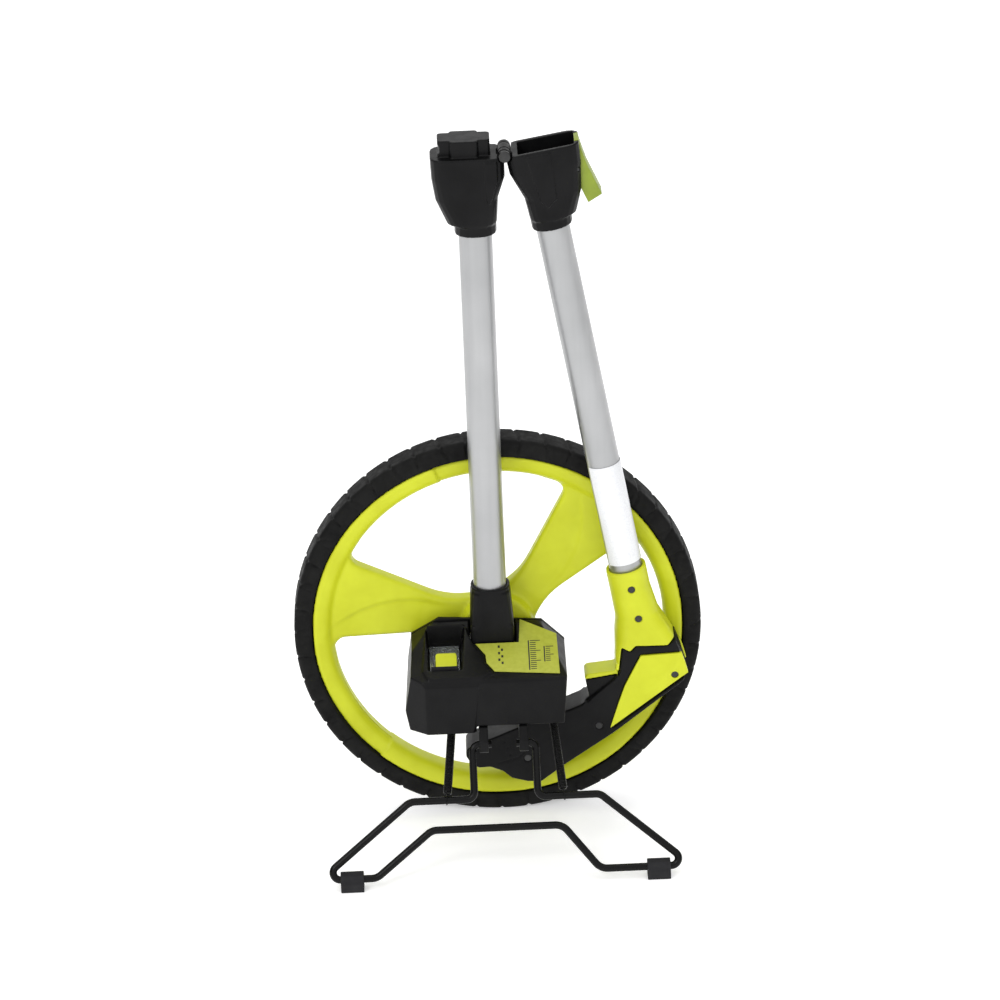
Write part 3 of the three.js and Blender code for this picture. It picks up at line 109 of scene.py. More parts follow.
GRIP_START = 355.4 * MM  # below the hinge pin, along the upper tube
GRIP_HALF = 15.9 * MM
HANDLE_HALF = 14.4 * MM
GROOVE_DEPTH = 1.1 * MM
GUARD_START = 74 * MM  # below the grip's start
HEEL_BORDER = 2.2 * MM

STAND_LEAN = math.radians(26)
WIRE_RADIUS = 3 * MM
FOOT_LINE = 8.6 * MM  # of the stand's wire over the ground
REAR_DROP = 42 * MM  # of the stand's rear bars, below its pivot
CROSSBAR_RISE = 35 * MM
SPRING_AT_WIRE = 45.3 * MM
SPRING_AT_HOUSING = 39 * MM
SPRING_HOOK_Y = -62 * MM
SPRING_RADIUS = 2.9 * MM
SPRING_PITCH = 1.15 * MM
SPRING_WIRE = 0.52 * MM


# --------------------------------------------------------------------------------------------------
# Mesh helpers
# --------------------------------------------------------------------------------------------------

def place(mesh_or_data, name):
    """A new object in the scene."""
    obj = bpy.data.objects.new(name, mesh_or_data)
    bpy.context.scene.collection.objects.link(obj)
    return obj


def from_bmesh(bm, name):
    """An object with a bmesh's faces, turned outwards."""
    bmesh.ops.recalc_face_normals(bm, faces=bm.faces)
    mesh = bpy.data.meshes.new(name)
    bm.to_mesh(mesh)
    bm.free()
    return place(mesh, name)


def apply(obj):
    """Makes the object's modifiers part of its mesh."""
    depsgraph = bpy.context.evaluated_depsgraph_get()
    mesh = bpy.data.meshes.new_from_object(obj.evaluated_get(depsgraph))
    obj.modifiers.clear()
    old = obj.data
    obj.data = mesh
    if not old.users:
        bpy.data.meshes.remove(old)
    return obj


def smooth(obj, angle=35):
    """Smooth shading, with edges sharper than the angle (degrees) left sharp."""
    obj.data.shade_smooth()
    obj.data.set_sharp_from_angle(angle=math.radians(angle))
    return obj


def bevel(obj, width, segments=3, angle=30):
    """Rounds edges sharper than the angle."""
    modifier = obj.modifiers.new("bevel", "BEVEL")
    modifier.width = width
    modifier.segments = segments
    modifier.limit_method = "ANGLE"
    modifier.angle_limit = math.radians(angle)
    return apply(obj)


def moulded(obj, voxel, rounds):
    """Remeshes to a fine even skin and relaxes it, as a moulding's soft edges are."""
    remesh = obj.modifiers.new("remesh", "REMESH")
    remesh.mode = "VOXEL"
    remesh.voxel_size = voxel
    relax = obj.modifiers.new("relax", "SMOOTH")
    relax.iterations = rounds
    apply(obj)
    obj.data.shade_smooth()
    return obj


def cad_copy(node, name):
    """A copy of a CAD node's mesh, with its flat faces whole again."""
    mesh = frame["nodes"][node].data.copy()
    obj = place(mesh, name)
    bm = bmesh.new()
    bm.from_mesh(mesh)
    bmesh.ops.remove_doubles(bm, verts=bm.verts, dist=2e-6)
    bmesh.ops.dissolve_limit(bm, angle_limit=math.radians(0.6), verts=bm.verts, edges=bm.edges)
    bm.to_mesh(mesh)
    bm.free()
    mesh.materials.clear()
    return obj


def prism(name, outline, y0, y1):
    """An outline of (x, z) points between two depths."""
    bm = bmesh.new()
    front = [bm.verts.new((x, y0, z)) for x, z in outline]
    back = [bm.verts.new((x, y1, z)) for x, z in outline]
    bm.faces.new(front)
    bm.faces.new(reversed(back))
    count = len(outline)
    for i in range(count):
        j = (i + 1) % count
        bm.faces.new((front[j], front[i], back[i], back[j]))
    return from_bmesh(bm, name)


def turned(name, profile, sides, place_at=(0, 0, 0), warp=None):
    """A ring round the Y axis through a closed loop of (radius, y), which warp may move at each angle."""
    bm = bmesh.new()
    rings = []
    for i in range(sides):
        angle = 2 * math.pi * i / sides
        ring = []
        for radius, y in profile:
            if warp:
                radius, y = warp(radius, y, angle)
            point = Vector((radius * math.cos(angle), y, radius * math.sin(angle))) + Vector(place_at)
            ring.append(bm.verts.new(point))
        rings.append(ring)
    for i in range(sides):
        here, there = rings[i], rings[(i + 1) % sides]
        for k in range(len(profile)):
            n = (k + 1) % len(profile)
            bm.faces.new((here[k], here[n], there[n], there[k]))
    return from_bmesh(bm, name)


def sweep(name, points, radius, sides):
    """A round wire through the points."""
    curve = bpy.data.curves.new(name, "CURVE")
    curve.dimensions = "3D"
    curve.bevel_depth = radius
    curve.bevel_resolution = max(1, sides // 4 - 1)
    curve.use_fill_caps = True
    spline = curve.splines.new("POLY")
    spline.points.add(len(points) - 1)
    for slot, point in zip(spline.points, points):
        slot.co = (*point, 1)
    obj = place(curve, name + "_path")
    mesh = bpy.data.meshes.new_from_object(obj.evaluated_get(bpy.context.evaluated_depsgraph_get()))
    bpy.data.objects.remove(obj)
    made = place(mesh, name)
    bm = bmesh.new()
    bm.from_mesh(mesh)
    bmesh.ops.remove_doubles(bm, verts=bm.verts, dist=1e-6)
    bmesh.ops.recalc_face_normals(bm, faces=bm.faces)
    bm.to_mesh(mesh)
    bm.free()
    mesh.shade_smooth()
    return made


def carve(obj, *cutters, operation="DIFFERENCE"):
    """Cuts the cutters out of the object, or joins them to it, and removes them."""
    for cutter in cutters:
        modifier = obj.modifiers.new("carve", "BOOLEAN")
        modifier.operation = operation
        modifier.solver = "EXACT"
        modifier.object = cutter
        apply(obj)
        bpy.data.objects.remove(cutter)
    return obj


def merge(name, *objects):
    """One object that holds the faces of several."""
    bm = bmesh.new()
    for obj in objects:
        obj.data.transform(obj.matrix_world)
        bm.from_mesh(obj.data)
        bpy.data.objects.remove(obj)
    mesh = bpy.data.meshes.new(name)
    bm.to_mesh(mesh)
    bm.free()
    return place(mesh, name)


def move(obj, matrix):
    obj.data.transform(matrix)
    return obj


def rounded_route(corners, steps):
    """Points along a bent wire: each corner is (point, bend radius)."""
    points = []
    for i, (point, radius) in enumerate(corners):
        point = Vector(point)
        if not radius:
            points.append(point)
            continue
        back = (Vector(corners[i - 1][0]) - point).normalized()
        on = (Vector(corners[i + 1][0]) - point).normalized()
        half = back.angle(on) / 2
        centre = point + (back + on).normalized() * (radius / math.sin(half))
        start = point + back * (radius / math.tan(half)) - centre
        end = point + on * (radius / math.tan(half)) - centre
        turn = start.angle(end)
        for step in range(steps + 1):
            t = step / steps
            arm = (start * math.sin((1 - t) * turn) + end * math.sin(t * turn)) / math.sin(turn)
            points.append(centre + arm)
    return points


def loft(name, rings):
    """A closed body through rings of points, all with the same count."""
    bm = bmesh.new()
    rows = [[bm.verts.new(point) for point in ring] for ring in rings]
    count = len(rows[0])
    for low, high in zip(rows, rows[1:]):
        for i in range(count):
            j = (i + 1) % count
            bm.faces.new((low[i], low[j], high[j], high[i]))
    bm.faces.new(reversed(rows[0]))
    bm.faces.new(rows[-1])
    return from_bmesh(bm, name)


def rounded_rectangle(u0, u1, v0, v1, radius, steps=6):
    corners = ((u1 - radius, v0 + radius, -90), (u1 - radius, v1 - radius, 0))
    corners += ((u0 + radius, v1 - radius, 90), (u0 + radius, v0 + radius, 180))
    points = []
    for u, v, start in corners:
        for i in range(steps + 1):
            angle = math.radians(start + 90 * i / steps)
            points.append((u + radius * math.cos(angle), v + radius * math.sin(angle)))
    return points


def on_slope(name, outline, low, high):
    """A plate of (x, y) points on the housing's sloping top, between two heights over it."""
    bm = bmesh.new()
    rows = []
    for height in (low, high):
        rows.append([bm.verts.new((x, y, housing_top(y) + height)) for x, y in outline])
    count = len(outline)
    bm.faces.new(reversed(rows[0]))
    bm.faces.new(rows[1])
    for i in range(count):
        j = (i + 1) % count
        bm.faces.new((rows[0][i], rows[0][j], rows[1][j], rows[1][i]))
    return from_bmesh(bm, name)


def housing_top(y):
    return AXLE.z + TOP_AT_BACK + (y - HOUSING_BACK) * math.tan(TOP_SLOPE)


def mm(*values):
    return tuple(value * MM for value in values)


def stands_for(obj, body, material, *nodes, slot=None):
    """The finished piece: its material, its body and the CAD nodes that it replaces."""
    obj.data.materials.clear()
    obj.data.materials.append(material)
    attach(obj, body)
    if nodes:
        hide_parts(*nodes)
    return obj


# --------------------------------------------------------------------------------------------------
# Materials
# --------------------------------------------------------------------------------------------------

class Finish:
    """A procedural material in object coordinates, with helpers for noise, ramps and bump."""

    def __init__(self, name, color, roughness, metallic=0.0, **sockets):
        self.material = bpy.data.materials.new(name)
        self.material.use_nodes = True
        self.nodes = self.material.node_tree.nodes
        self.links = self.material.node_tree.links
        self.shader = self.nodes["Principled BSDF"]
        self.shader.inputs["Base Color"].default_value = (*color, 1)
        self.shader.inputs["Roughness"].default_value = roughness
        self.shader.inputs["Metallic"].default_value = metallic
        for socket, value in sockets.items():
            self.shader.inputs[socket.replace("_", " ")].default_value = value
        self.where = self.nodes.new("ShaderNodeTexCoord").outputs["Object"]

    def noise(self, scale, detail=2.0, stretch=None):
        node = self.nodes.new("ShaderNodeTexNoise")
        node.inputs["Scale"].default_value = scale
        node.inputs["Detail"].default_value = detail
        source = self.where
        if stretch:
            mapping = self.nodes.new("ShaderNodeMapping")
            mapping.inputs["Scale"].default_value = stretch
            self.links.new(source, mapping.inputs["Vector"])
            source = mapping.outputs["Vector"]
        self.links.new(source, node.inputs["Vector"])
        return node.outputs["Fac"]

    def ramp(self, source, *stops):
        """Colours at positions along a source that runs from 0 to 1."""
        node = self.nodes.new("ShaderNodeValToRGB")
        elements = node.color_ramp.elements
        while len(elements) < len(stops):
            elements.new(0.5)
        for element, (position, color) in zip(elements, stops):
            element.position = position
            element.color = (*color, 1)
        self.links.new(source, node.inputs["Fac"])
        return node.outputs["Color"]

    def span(self, source, low, high):
        """A noise's usual range, stretched over two values."""
        node = self.nodes.new("ShaderNodeMapRange")
        node.inputs["From Min"].default_value = 0.3
        node.inputs["From Max"].default_value = 0.7
        node.inputs["To Min"].default_value = low
        node.inputs["To Max"].default_value = high
        self.links.new(source, node.inputs["Value"])
        return node.outputs["Result"]

    def color(self, source):
        self.links.new(source, self.shader.inputs["Base Color"])
        return self

    def rough(self, source):
        self.links.new(source, self.shader.inputs["Roughness"])
        return self

    def bump(self, source, distance):
        node = self.nodes.new("ShaderNodeBump")
        node.inputs["Distance"].default_value = distance
        self.links.new(source, node.inputs["Height"])
        self.links.new(node.outputs["Normal"], self.shader.inputs["Normal"])
        return self


def plastic(name, dark, light, low, high, grain, relief, **sockets):
    """Moulded plastic: faint mottling, a fine texture and uneven gloss."""
    finish = Finish(name, light, low, **sockets)
    finish.color(finish.ramp(finish.noise(38, 3), (0.35, dark), (0.65, light)))
    finish.rough(finish.span(finish.noise(120, 2), low, high))
    finish.bump(finish.noise(grain, 1), relief)
    return finish.material


def lime_plastic():
    return plastic(
        "lime_plastic", (0.58, 0.62, 0.016), (0.64, 0.69, 0.024), 0.34, 0.46, 1500, 0.00004,
        Specular_IOR_Level=0.3,
    )


def black_plastic():
    return plastic(
        "black_plastic", (0.003, 0.003, 0.0033), (0.006, 0.006, 0.0064), 0.3, 0.42, 1100, 0.00006,
        Specular_IOR_Level=0.14,
    )


def tyre_rubber():
    finish = Finish("tyre_rubber", (0.012, 0.012, 0.012), 0.6, Specular_IOR_Level=0.12)
    dark, light = (0.004, 0.004, 0.004), (0.010, 0.010, 0.0095)
    finish.color(finish.ramp(finish.noise(60, 4), (0.3, dark), (0.7, light)))
    finish.rough(finish.span(finish.noise(200, 2), 0.5, 0.72))
    finish.bump(finish.noise(900, 2), 0.00008)
    return finish.material


def foot_rubber():
    finish = Finish("foot_rubber", (0.03, 0.03, 0.032), 0.7, Specular_IOR_Level=0.15)
    dark, light = (0.016, 0.016, 0.018), (0.026, 0.026, 0.028)
    finish.color(finish.ramp(finish.noise(90, 4), (0.3, dark), (0.7, light)))
    finish.bump(finish.noise(1200, 2), 0.0001)
    return finish.material


def aluminium():
    """Satin anodised tube with fine lines drawn along it."""
    finish = Finish("anodised_aluminium", (0.4, 0.405, 0.41), 0.36, 0.85)
    dark, light = (0.40, 0.404, 0.41), (0.46, 0.464, 0.47)
    finish.color(finish.ramp(finish.noise(16, 4), (0.3, dark), (0.7, light)))
    finish.rough(finish.span(finish.noise(300, 2, (1, 1, 0.03)), 0.32, 0.44))
    finish.bump(finish.noise(2200, 1, (1, 1, 0.01)), 0.00002)
    return finish.material


def steel(name="zinc_steel", color=(0.5, 0.5, 0.51)):
    finish = Finish(name, color, 0.32, 1.0)
    finish.color(finish.ramp(finish.noise(150, 3), (0.3, tuple(c * 0.8 for c in color)), (0.7, color)))
    finish.rough(finish.span(finish.noise(400, 2), 0.24, 0.42))
    return finish.material


def black_coat():
    """Glossy black dip over bent wire."""
    finish = Finish("black_wire_coat", (0.004, 0.004, 0.004), 0.2, Specular_IOR_Level=0.16)
    finish.rough(finish.span(finish.noise(160, 3), 0.18, 0.34))
    finish.bump(finish.noise(260, 2), 0.00006)
    return finish.material


def clear_lens():
    finish = Finish(
        "clear_lens", (0.9, 0.95, 0.95), 0.04,
        Transmission_Weight=0.9, IOR=1.49, Specular_IOR_Level=0.6,
    )
    finish.rough(finish.span(finish.noise(90, 2), 0.03, 0.09))
    return finish.material


def label_film():
    finish = Finish("label_film", (0.42, 0.52, 0.05), 0.42, Specular_IOR_Level=0.3)
    dark, light = (0.42, 0.45, 0.05), (0.48, 0.51, 0.065)
    finish.color(finish.ramp(finish.noise(300, 3), (0.3, dark), (0.7, light)))
    finish.bump(finish.noise(1500, 2), 0.00002)
    return finish.material


def reflective_film():
    """Bright bead film: fine bead cells, each painted brighter at its centre as a painted glint, and a faint
    painted glow from the emission.
    """
    # The white emission is a painted glow: the film gives no light of its own.
    finish = Finish("reflective_film", (0.9, 0.9, 0.91), 0.25, Emission_Strength=0.03)
    finish.shader.inputs["Emission Color"].default_value = (1, 1, 1, 1)
    cells = finish.nodes.new("ShaderNodeTexVoronoi")
    cells.inputs["Scale"].default_value = 900
    finish.links.new(finish.where, cells.inputs["Vector"])
    # Painted glints: each cell is painted lighter at its centre and duller towards its edge.
    bright, dull = (0.9, 0.91, 0.92), (0.78, 0.79, 0.82)
    finish.color(finish.ramp(cells.outputs["Distance"], (0.0, bright), (1.0, dull)))
    finish.bump(cells.outputs["Distance"], 0.00003)
    return finish.material


LIME = lime_plastic()
BLACK = black_plastic()
TYRE = tyre_rubber()
FOOT = foot_rubber()
ALUMINIUM = aluminium()
STEEL = steel()
# Dark steel for the hinge and latch pins; on the grip's screws its darkness is painted shade, standing in for the
# shade in their wells.
DARK_STEEL_AND_WELL_SHADE = steel("dark_steel_and_painted_well_shade", (0.06, 0.06, 0.06))
LATCH = plastic("latch_plastic", (0.22, 0.29, 0.015), (0.30, 0.38, 0.025), 0.4, 0.5, 1500, 0.00004)
BRASS = steel("sintered_bronze", (0.55, 0.38, 0.16))
COAT = black_coat()
LENS = clear_lens()
LABEL = label_film()
REFLECTIVE = reflective_film()
INK = plastic("printed_ink", (0.012, 0.012, 0.012), (0.02, 0.02, 0.02), 0.4, 0.5, 1500, 0.00001)
WHITE = plastic("white_plastic", (0.68, 0.68, 0.64), (0.76, 0.76, 0.72), 0.4, 0.52, 900, 0.00004)


# --------------------------------------------------------------------------------------------------
# Wheel
# --------------------------------------------------------------------------------------------------

def tyre():
    """A solid rubber tyre with rounded shoulders and a groove at every pitch, slanted to and fro in turn."""
    rim = WHEEL_RADIUS - TYRE_DEPTH
    half = 14 * MM
    arc = 4.2 * MM
    profile = [(rim - 3 * MM, 7 * MM), (rim + 0.3 * MM, 11.7 * MM), (rim + 0.3 * MM, half - 0.6 * MM)]
    profile += [(rim + 1.4 * MM, half), (rim + 4 * MM, half), (rim + 6.5 * MM, half - 0.15 * MM)]
    for i in range(9):
        angle = math.radians(90 * i / 8)
        radius = WHEEL_RADIUS - arc + arc * math.sin(angle)
        profile.append((radius, half - 0.5 * MM - arc + arc * math.cos(angle)))
    profile += [(WHEEL_RADIUS, 6 * MM), (WHEEL_RADIUS, 3 * MM), (WHEEL_RADIUS, 0.0)]
    profile += [(radius, -y) for radius, y in reversed(profile[:-1])]
    pitch = 2 * math.pi / TREAD_PITCHES

    def tread(radius, y, angle):
        depth_in = WHEEL_RADIUS - radius
        side = math.copysign(1, y)
        turn = angle / pitch
        slant = 0.30 if int(turn) % 2 else -0.12
        across = abs(y) / half
        local = (turn - slant * (depth_in / TYRE_DEPTH) * side - 0.12 * across * side) % 1.0
        offset = min(local, 1 - local) * pitch * WHEEL_RADIUS
        reach = min(1.0, max(0.0, 1 - (depth_in - TREAD_REACH) / (1.5 * MM)))
        if across < 0.4:
            reach *= 0.35
        cut = reach * max(0.0, 1 - (offset / (1.5 * MM)) ** 2)
        deep = TREAD_DEPTH * cut
        flank = min(1.0, depth_in / arc)
        return radius - deep * (1 - flank) - 0.2 * deep, y - side * deep * flank

    obj = turned("tyre_tread", profile, TREAD_PITCHES * 20, AXLE, tread)
    smooth(obj, 50)
    return stands_for(obj, "wheel", TYRE, "tyre", slot="tyre_rubber")


def window_outline(spoke_angle):
    """One window between two spokes, as (x, z) about the axle."""
    radius = WHEEL_RADIUS - TYRE_DEPTH - RIM_DEPTH
    off = SPOKE_APEX * math.sin(SPOKE_TAPER)
    reach = math.sqrt(radius ** 2 - off ** 2) + SPOKE_APEX * math.cos(SPOKE_TAPER)

    def edge(angle, side):
        axis = math.radians(angle)
        direction = axis + side * SPOKE_TAPER
        x = -SPOKE_APEX * math.cos(axis) + reach * math.cos(direction)
        return Vector((x, 0, -SPOKE_APEX * math.sin(axis) + reach * math.sin(direction)))

    first, last = edge(spoke_angle, 1), edge(spoke_angle + 120, -1)
    bisector = math.radians(spoke_angle + 60)
    inner = off / math.sin(math.radians(60) - SPOKE_TAPER)
    hub = Vector((inner * math.cos(bisector), 0, inner * math.sin(bisector)))
    start = math.atan2(first.z, first.x)
    turn = (math.atan2(last.z, last.x) - start) % (2 * math.pi)
    steps = 24
    arc = []
    for i in range(steps + 1):
        angle = start + turn * i / steps
        point = Vector((radius * math.cos(angle), 0, radius * math.sin(angle)))
        arc.append((point, 0 if 0 < i < steps else 9 * MM))
    # Corners are rounded with the straight spoke edges and the chord of the rim next to them.
    arc = [arc[0]] + arc[3:-3] + [arc[-1]]
    middle = len(arc) // 2
    loop = arc[middle:] + [(hub, SPOKE_FLARE)] + arc[:middle]
    points = rounded_route(loop + [(loop[0][0], 0)], 14)[:-1]
    return [(p.x, p.z) for p in points]


def plate_with_holes(name, outline, holes, half, rounding):
    """A flat plate in the XZ plane with rounded edges, midway at y = 0."""
    curve = bpy.data.curves.new(name, "CURVE")
    curve.dimensions = "2D"
    curve.fill_mode = "BOTH"
    curve.extrude = half - rounding
    curve.bevel_depth = rounding
    curve.bevel_resolution = 4
    curve.offset = -rounding
    for loop in [outline, *holes]:
        spline = curve.splines.new("POLY")
        spline.points.add(len(loop) - 1)
        spline.use_cyclic_u = True
        for slot, (x, z) in zip(spline.points, loop):
            slot.co = (x, z, 0, 1)
    path = place(curve, name + "_path")
    mesh = bpy.data.meshes.new_from_object(path.evaluated_get(bpy.context.evaluated_depsgraph_get()))
    bpy.data.objects.remove(path)
    obj = place(mesh, name)
    return move(obj, Matrix.Rotation(math.pi / 2, 4, "X"))


def spoke_relief(x, z):
    """How far the spokes' faces step in on one side of each spoke's curved crease, from 0 to 1."""
    radius = math.hypot(x, z)
    angle = math.degrees(math.atan2(z, x))
    for spoke in SPOKE_ANGLES:
        off = (angle - spoke + 180) % 360 - 180
        if abs(off) > 60:
            continue
        along = (radius * math.cos(math.radians(off)) - CREASE_START) / CREASE_LENGTH
        across = radius * math.sin(math.radians(off))
        if along <= 0 or along >= 1.15:
            return 0.0
        half = math.tan(SPOKE_TAPER) * (radius + SPOKE_APEX)
        crease = half * (-0.72 + 1.35 * along ** 1.7)
        step = (across - crease) / (2.2 * MM)
        fade = min(1, along / 0.25) * min(1, max(0, (1.1 - along) / 0.25))
        return fade / (1 + math.exp(-3 * step))
    return 0.0


def wheel():
    """Rim, three spokes and hub, moulded in one."""
    outer = WHEEL_RADIUS - TYRE_DEPTH
    inner = outer - RIM_DEPTH
    half = 13 * MM
    profile = [(outer, half - 2 * MM), (outer - 1.5 * MM, half), (outer - 5 * MM, half - 0.2 * MM)]
    bulge, drop = 8.5 * MM, 7.4 * MM
    for i in range(9):
        angle = math.radians(90 * i / 8)
        across = half - 8 * MM + drop * math.cos(angle)
        profile.append((inner + bulge * (1 - math.sin(angle)), across))
    profile += [(radius, -y) for radius, y in reversed(profile)]
    groove = [(outer - 4 * MM, -8.5 * MM), (outer - 4 * MM, 8.5 * MM)]
    rim = turned("rim", profile + groove, 240)
    disc_radius = inner + 4 * MM
    disc = [
        (disc_radius * math.cos(2 * math.pi * i / 180), disc_radius * math.sin(2 * math.pi * i / 180))
        for i in range(180)
    ]
    web = plate_with_holes("web", disc, [window_outline(a) for a in SPOKE_ANGLES], WEB_HALF, 3.5 * MM)
    bore = 5.3 * MM
    hub = turned(
        "hub",
        [(bore, -HUB_HALF), (HUB_RADIUS - 2 * MM, -HUB_HALF), (HUB_RADIUS, -HUB_HALF + 2 * MM),
         (HUB_RADIUS + 2 * MM, 0), (HUB_RADIUS, HUB_HALF - 2 * MM), (HUB_RADIUS - 2 * MM, HUB_HALF),
         (bore, HUB_HALF)],
        96,
    )
    obj = merge("wheel_moulding", rim, web, hub)
    moulded(obj, 1.25 * MM, 5)
    web_face = 5 * MM
    for vertex in obj.data.vertices:
        x, y, z = vertex.co
        if abs(y) > web_face and math.hypot(x, z) > HUB_RADIUS:
            vertex.co.y -= math.copysign(CREASE_DEPTH * spoke_relief(x, z), y)
    relax = obj.modifiers.new("relax", "SMOOTH")
    relax.iterations = 2
    apply(obj)
    obj.data.shade_smooth()
    move(obj, Matrix.Translation(AXLE))
    return stands_for(obj, "wheel", LIME, "wheel_rim_and_spokes", slot="lime_plastic")


def hub_fittings():
    for node, width in (("axle_nut", 0.6), ("hub_washer", 0.25), ("axle", 0.5)):
        obj = cad_copy(node, node + "_finished")
        smooth(bevel(obj, width * MM, 2))
        stands_for(obj, "wheel", STEEL, node, slot="steel")


# --------------------------------------------------------------------------------------------------
# Housing and counter
# --------------------------------------------------------------------------------------------------

def rounded_copy(node, body, material, width, slot, segments=3):
    """A CAD node's shape with its edges rounded by a width in mm."""
    obj = cad_copy(node, node + "_finished")
    smooth(bevel(obj, width * MM, segments, 20), 40)
    return stands_for(obj, body, material, node, slot=slot)


def recess_corners(grow):
    """The rectangle over the counter, as (x0, x1, y0, y1)."""
    low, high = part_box("window_lens")
    return low.x - grow, high.x + grow, low.y - grow, high.y + grow


def coil_spring(node, into_body, wire, turns):
    """A coil in a spring's CAD place, squeezed between the two bodies that it pushes apart.

    into_body takes the row frame to one where the spring lies along Z.
    """
    solid = cad_copy(node, node + "_place")
    points = [into_body @ vertex.co for vertex in solid.data.vertices]
    bpy.data.objects.remove(solid)
    low = Vector([min(point[i] for point in points) for i in range(3)])
    high = Vector([max(point[i] for point in points) for i in range(3)])
    centre = (low + high) / 2
    radius = (high.x - low.x) / 2 - wire
    steps = turns * 20
    path = []
    for i in range(steps + 1):
        angle = 2 * math.pi * turns * i / steps
        z = low.z + wire + (high.z - low.z - 2 * wire) * i / steps
        x, y = centre.x + radius * math.cos(angle), centre.y + radius * math.sin(angle)
        path.append(Vector((x, y, z)))
    back = into_body.inverted()
    obj = sweep(node + "_coil", [back @ point for point in path], wire, 8)
    obj.data.materials.append(STEEL)
    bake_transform(obj)
    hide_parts(node)
    return obj


def cover():
    """The housing's cover, with the raised hood round the counter and the seam down its front."""
    obj = cad_copy("housing_cover", "housing_moulding")
    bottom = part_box("housing_cover")[0].z
    hood_outline = [
        mm(-55.6, -26), mm(-27, -26), mm(-19.5, -49.5), mm(-12.2, -61), mm(-11.6, -70), mm(-5.6, -80.5),
        mm(-14, -86.5), mm(-56, -86.5), mm(-60, -76),
    ]
    hood = on_slope("hood", hood_outline, -HOOD_ROOT, HOOD_HEIGHT)
    x0, x1, y0, y1 = recess_corners(1.2 * MM)
    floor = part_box("window_lens")[0].z
    rings = []
    # The well's walls flare, most on the right.
    for grow, z in ((0, floor), (0.8 * MM, floor + 4 * MM), (5.5 * MM, AXLE.z + 18 * MM)):
        ring = rounded_rectangle(x0 - grow * 0.4, x1 + grow, y0 - grow * 0.8, y1 + grow * 0.5, 1.5 * MM)
        rings.append([(x, y, z) for x, y in ring])
    well = loft("well", rings)
    # The front steps back to the right of the seam.
    top, right = AXLE.z + 20 * MM, 70 * MM
    step = [(-13.5 * MM, top), (right, top), (right, bottom - MM), (-22 * MM, bottom - MM)]
    seam = prism("seam", step, HOUSING_FRONT - 5 * MM, HOUSING_FRONT + SEAM_DEPTH)
    carve(obj, hood, operation="UNION")
    carve(obj, well, seam)
    moulded(obj, 0.8 * MM, 4)
    return stands_for(obj, "frame", BLACK, "housing_cover", slot="black_plastic")


def apron():
    """The rough ramp that rises from the lens towards the front of the recess."""
    x0, x1, y0, _ = recess_corners(0.2 * MM)
    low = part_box("window_lens")[1].z + 0.2 * MM
    section = [(0, 0), (5.5 * MM, 0), (4.5 * MM, 0.8 * MM), (0, 4 * MM)]
    rings = []
    for x in (x0 + 1 * MM, x1 - 1 * MM):
        rings.append([(x, y0 + back, low + up) for back, up in section])
    obj = loft("recess_apron", rings)
    bevel(obj, 0.4 * MM, 2)
    obj.data.materials.append(FOOT)
    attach(obj, "frame")
    return obj


def label():
    """The label, printed with plain scales and dots: no lettering."""
    rounded_copy("label_plate", "frame", LABEL, 0.15, "label_film")
    marks = []

    def bar(x0, x1, y0, y1):
        outline = [mm(x0, y0), mm(x1, y0), mm(x1, y1), mm(x0, y1)]
        marks.append(on_slope("mark", outline, LABEL_FACE, LABEL_FACE + INK_THICKNESS))

    def scale(x, top, count, every, long, short):
        """Marks 2.2 mm apart, every so many of them long, beside a line 1 mm wide."""
        for i in range(count):
            length = short if i % every else long
            bar(x, x + length, top - 2.2 * i, top + 0.8 - 2.2 * i)
        bar(x - 1.6, x - 0.6, top - 0.8 - 2.2 * (count - 1), top + 0.8)

    scale(24, -48, 15, 5, 8, 4.5)
    scale(36, -55, 8, 4, 6, 3.5)
    for i in range(6):
        left = -1 + 2.4 * (i % 2)
        bar(left, left + 1.6, -54 - 3.6 * i, -51.4 - 3.6 * i)
    return stands_for(merge("label_print", *marks), "frame", INK)


def digit(number, size):
    """A digit's flat mesh, centred."""
    text = bpy.data.curves.new("digit", "FONT")
    text.body = str(number)
    text.size = size
    text.align_x = "CENTER"
    text.align_y = "CENTER"
    holder = place(text, "digit_text")
    mesh = bpy.data.meshes.new_from_object(holder.evaluated_get(bpy.context.evaluated_depsgraph_get()))
    bpy.data.objects.remove(holder)
    return place(mesh, "digit_mesh")


def drums():
    """Black counter drums, each with the ten digits round it."""
    for index in range(1, 6):
        node = f"digit_drum_{index}"
        low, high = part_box(node)
        centre = (low + high) / 2
        digits = []
        radius = DRUM_RADIUS + 0.05 * MM
        for number in range(10):
            glyph = digit(number, DIGIT_SIZE)
            for vertex in glyph.data.vertices:
                across, up, _ = vertex.co
                angle = math.pi / 2 + up / DRUM_RADIUS + number * math.radians(36)
                vertex.co = centre + Vector((radius * math.cos(angle), across, radius * math.sin(angle)))
            digits.append(glyph)
        body = "counter_input" if index == 1 else f"drum_{index}"
        stands_for(merge(f"drum_{index}_digits", *digits), body, WHITE)
        rounded_copy(node, body, INK, 0.3, "drum_plastic", 2)


def housing():
    cover()
    apron()
    label()
    drums()
    rounded_copy("housing_back_plate", "frame", BLACK, 0.7, "black_plastic")
    rounded_copy("window_lens", "frame", LENS, 0.3, "clear_lens")
    rounded_copy("reset_button", "reset", LIME, 1.0, "lime_plastic")
    coil_spring("reset_spring", Matrix.Identity(4), 0.4 * MM, 6)
    socket = cad_copy("tube_socket", "tube_socket_moulding")
    moulded(socket, 0.7 * MM, 5)
    stands_for(socket, "frame", BLACK, "tube_socket", slot="black_plastic")
    for side in ("left", "right"):
        rounded_copy("stand_bracket_" + side, "frame", BLACK, 0.8, "black_plastic")


# --------------------------------------------------------------------------------------------------
# Handle
# --------------------------------------------------------------------------------------------------

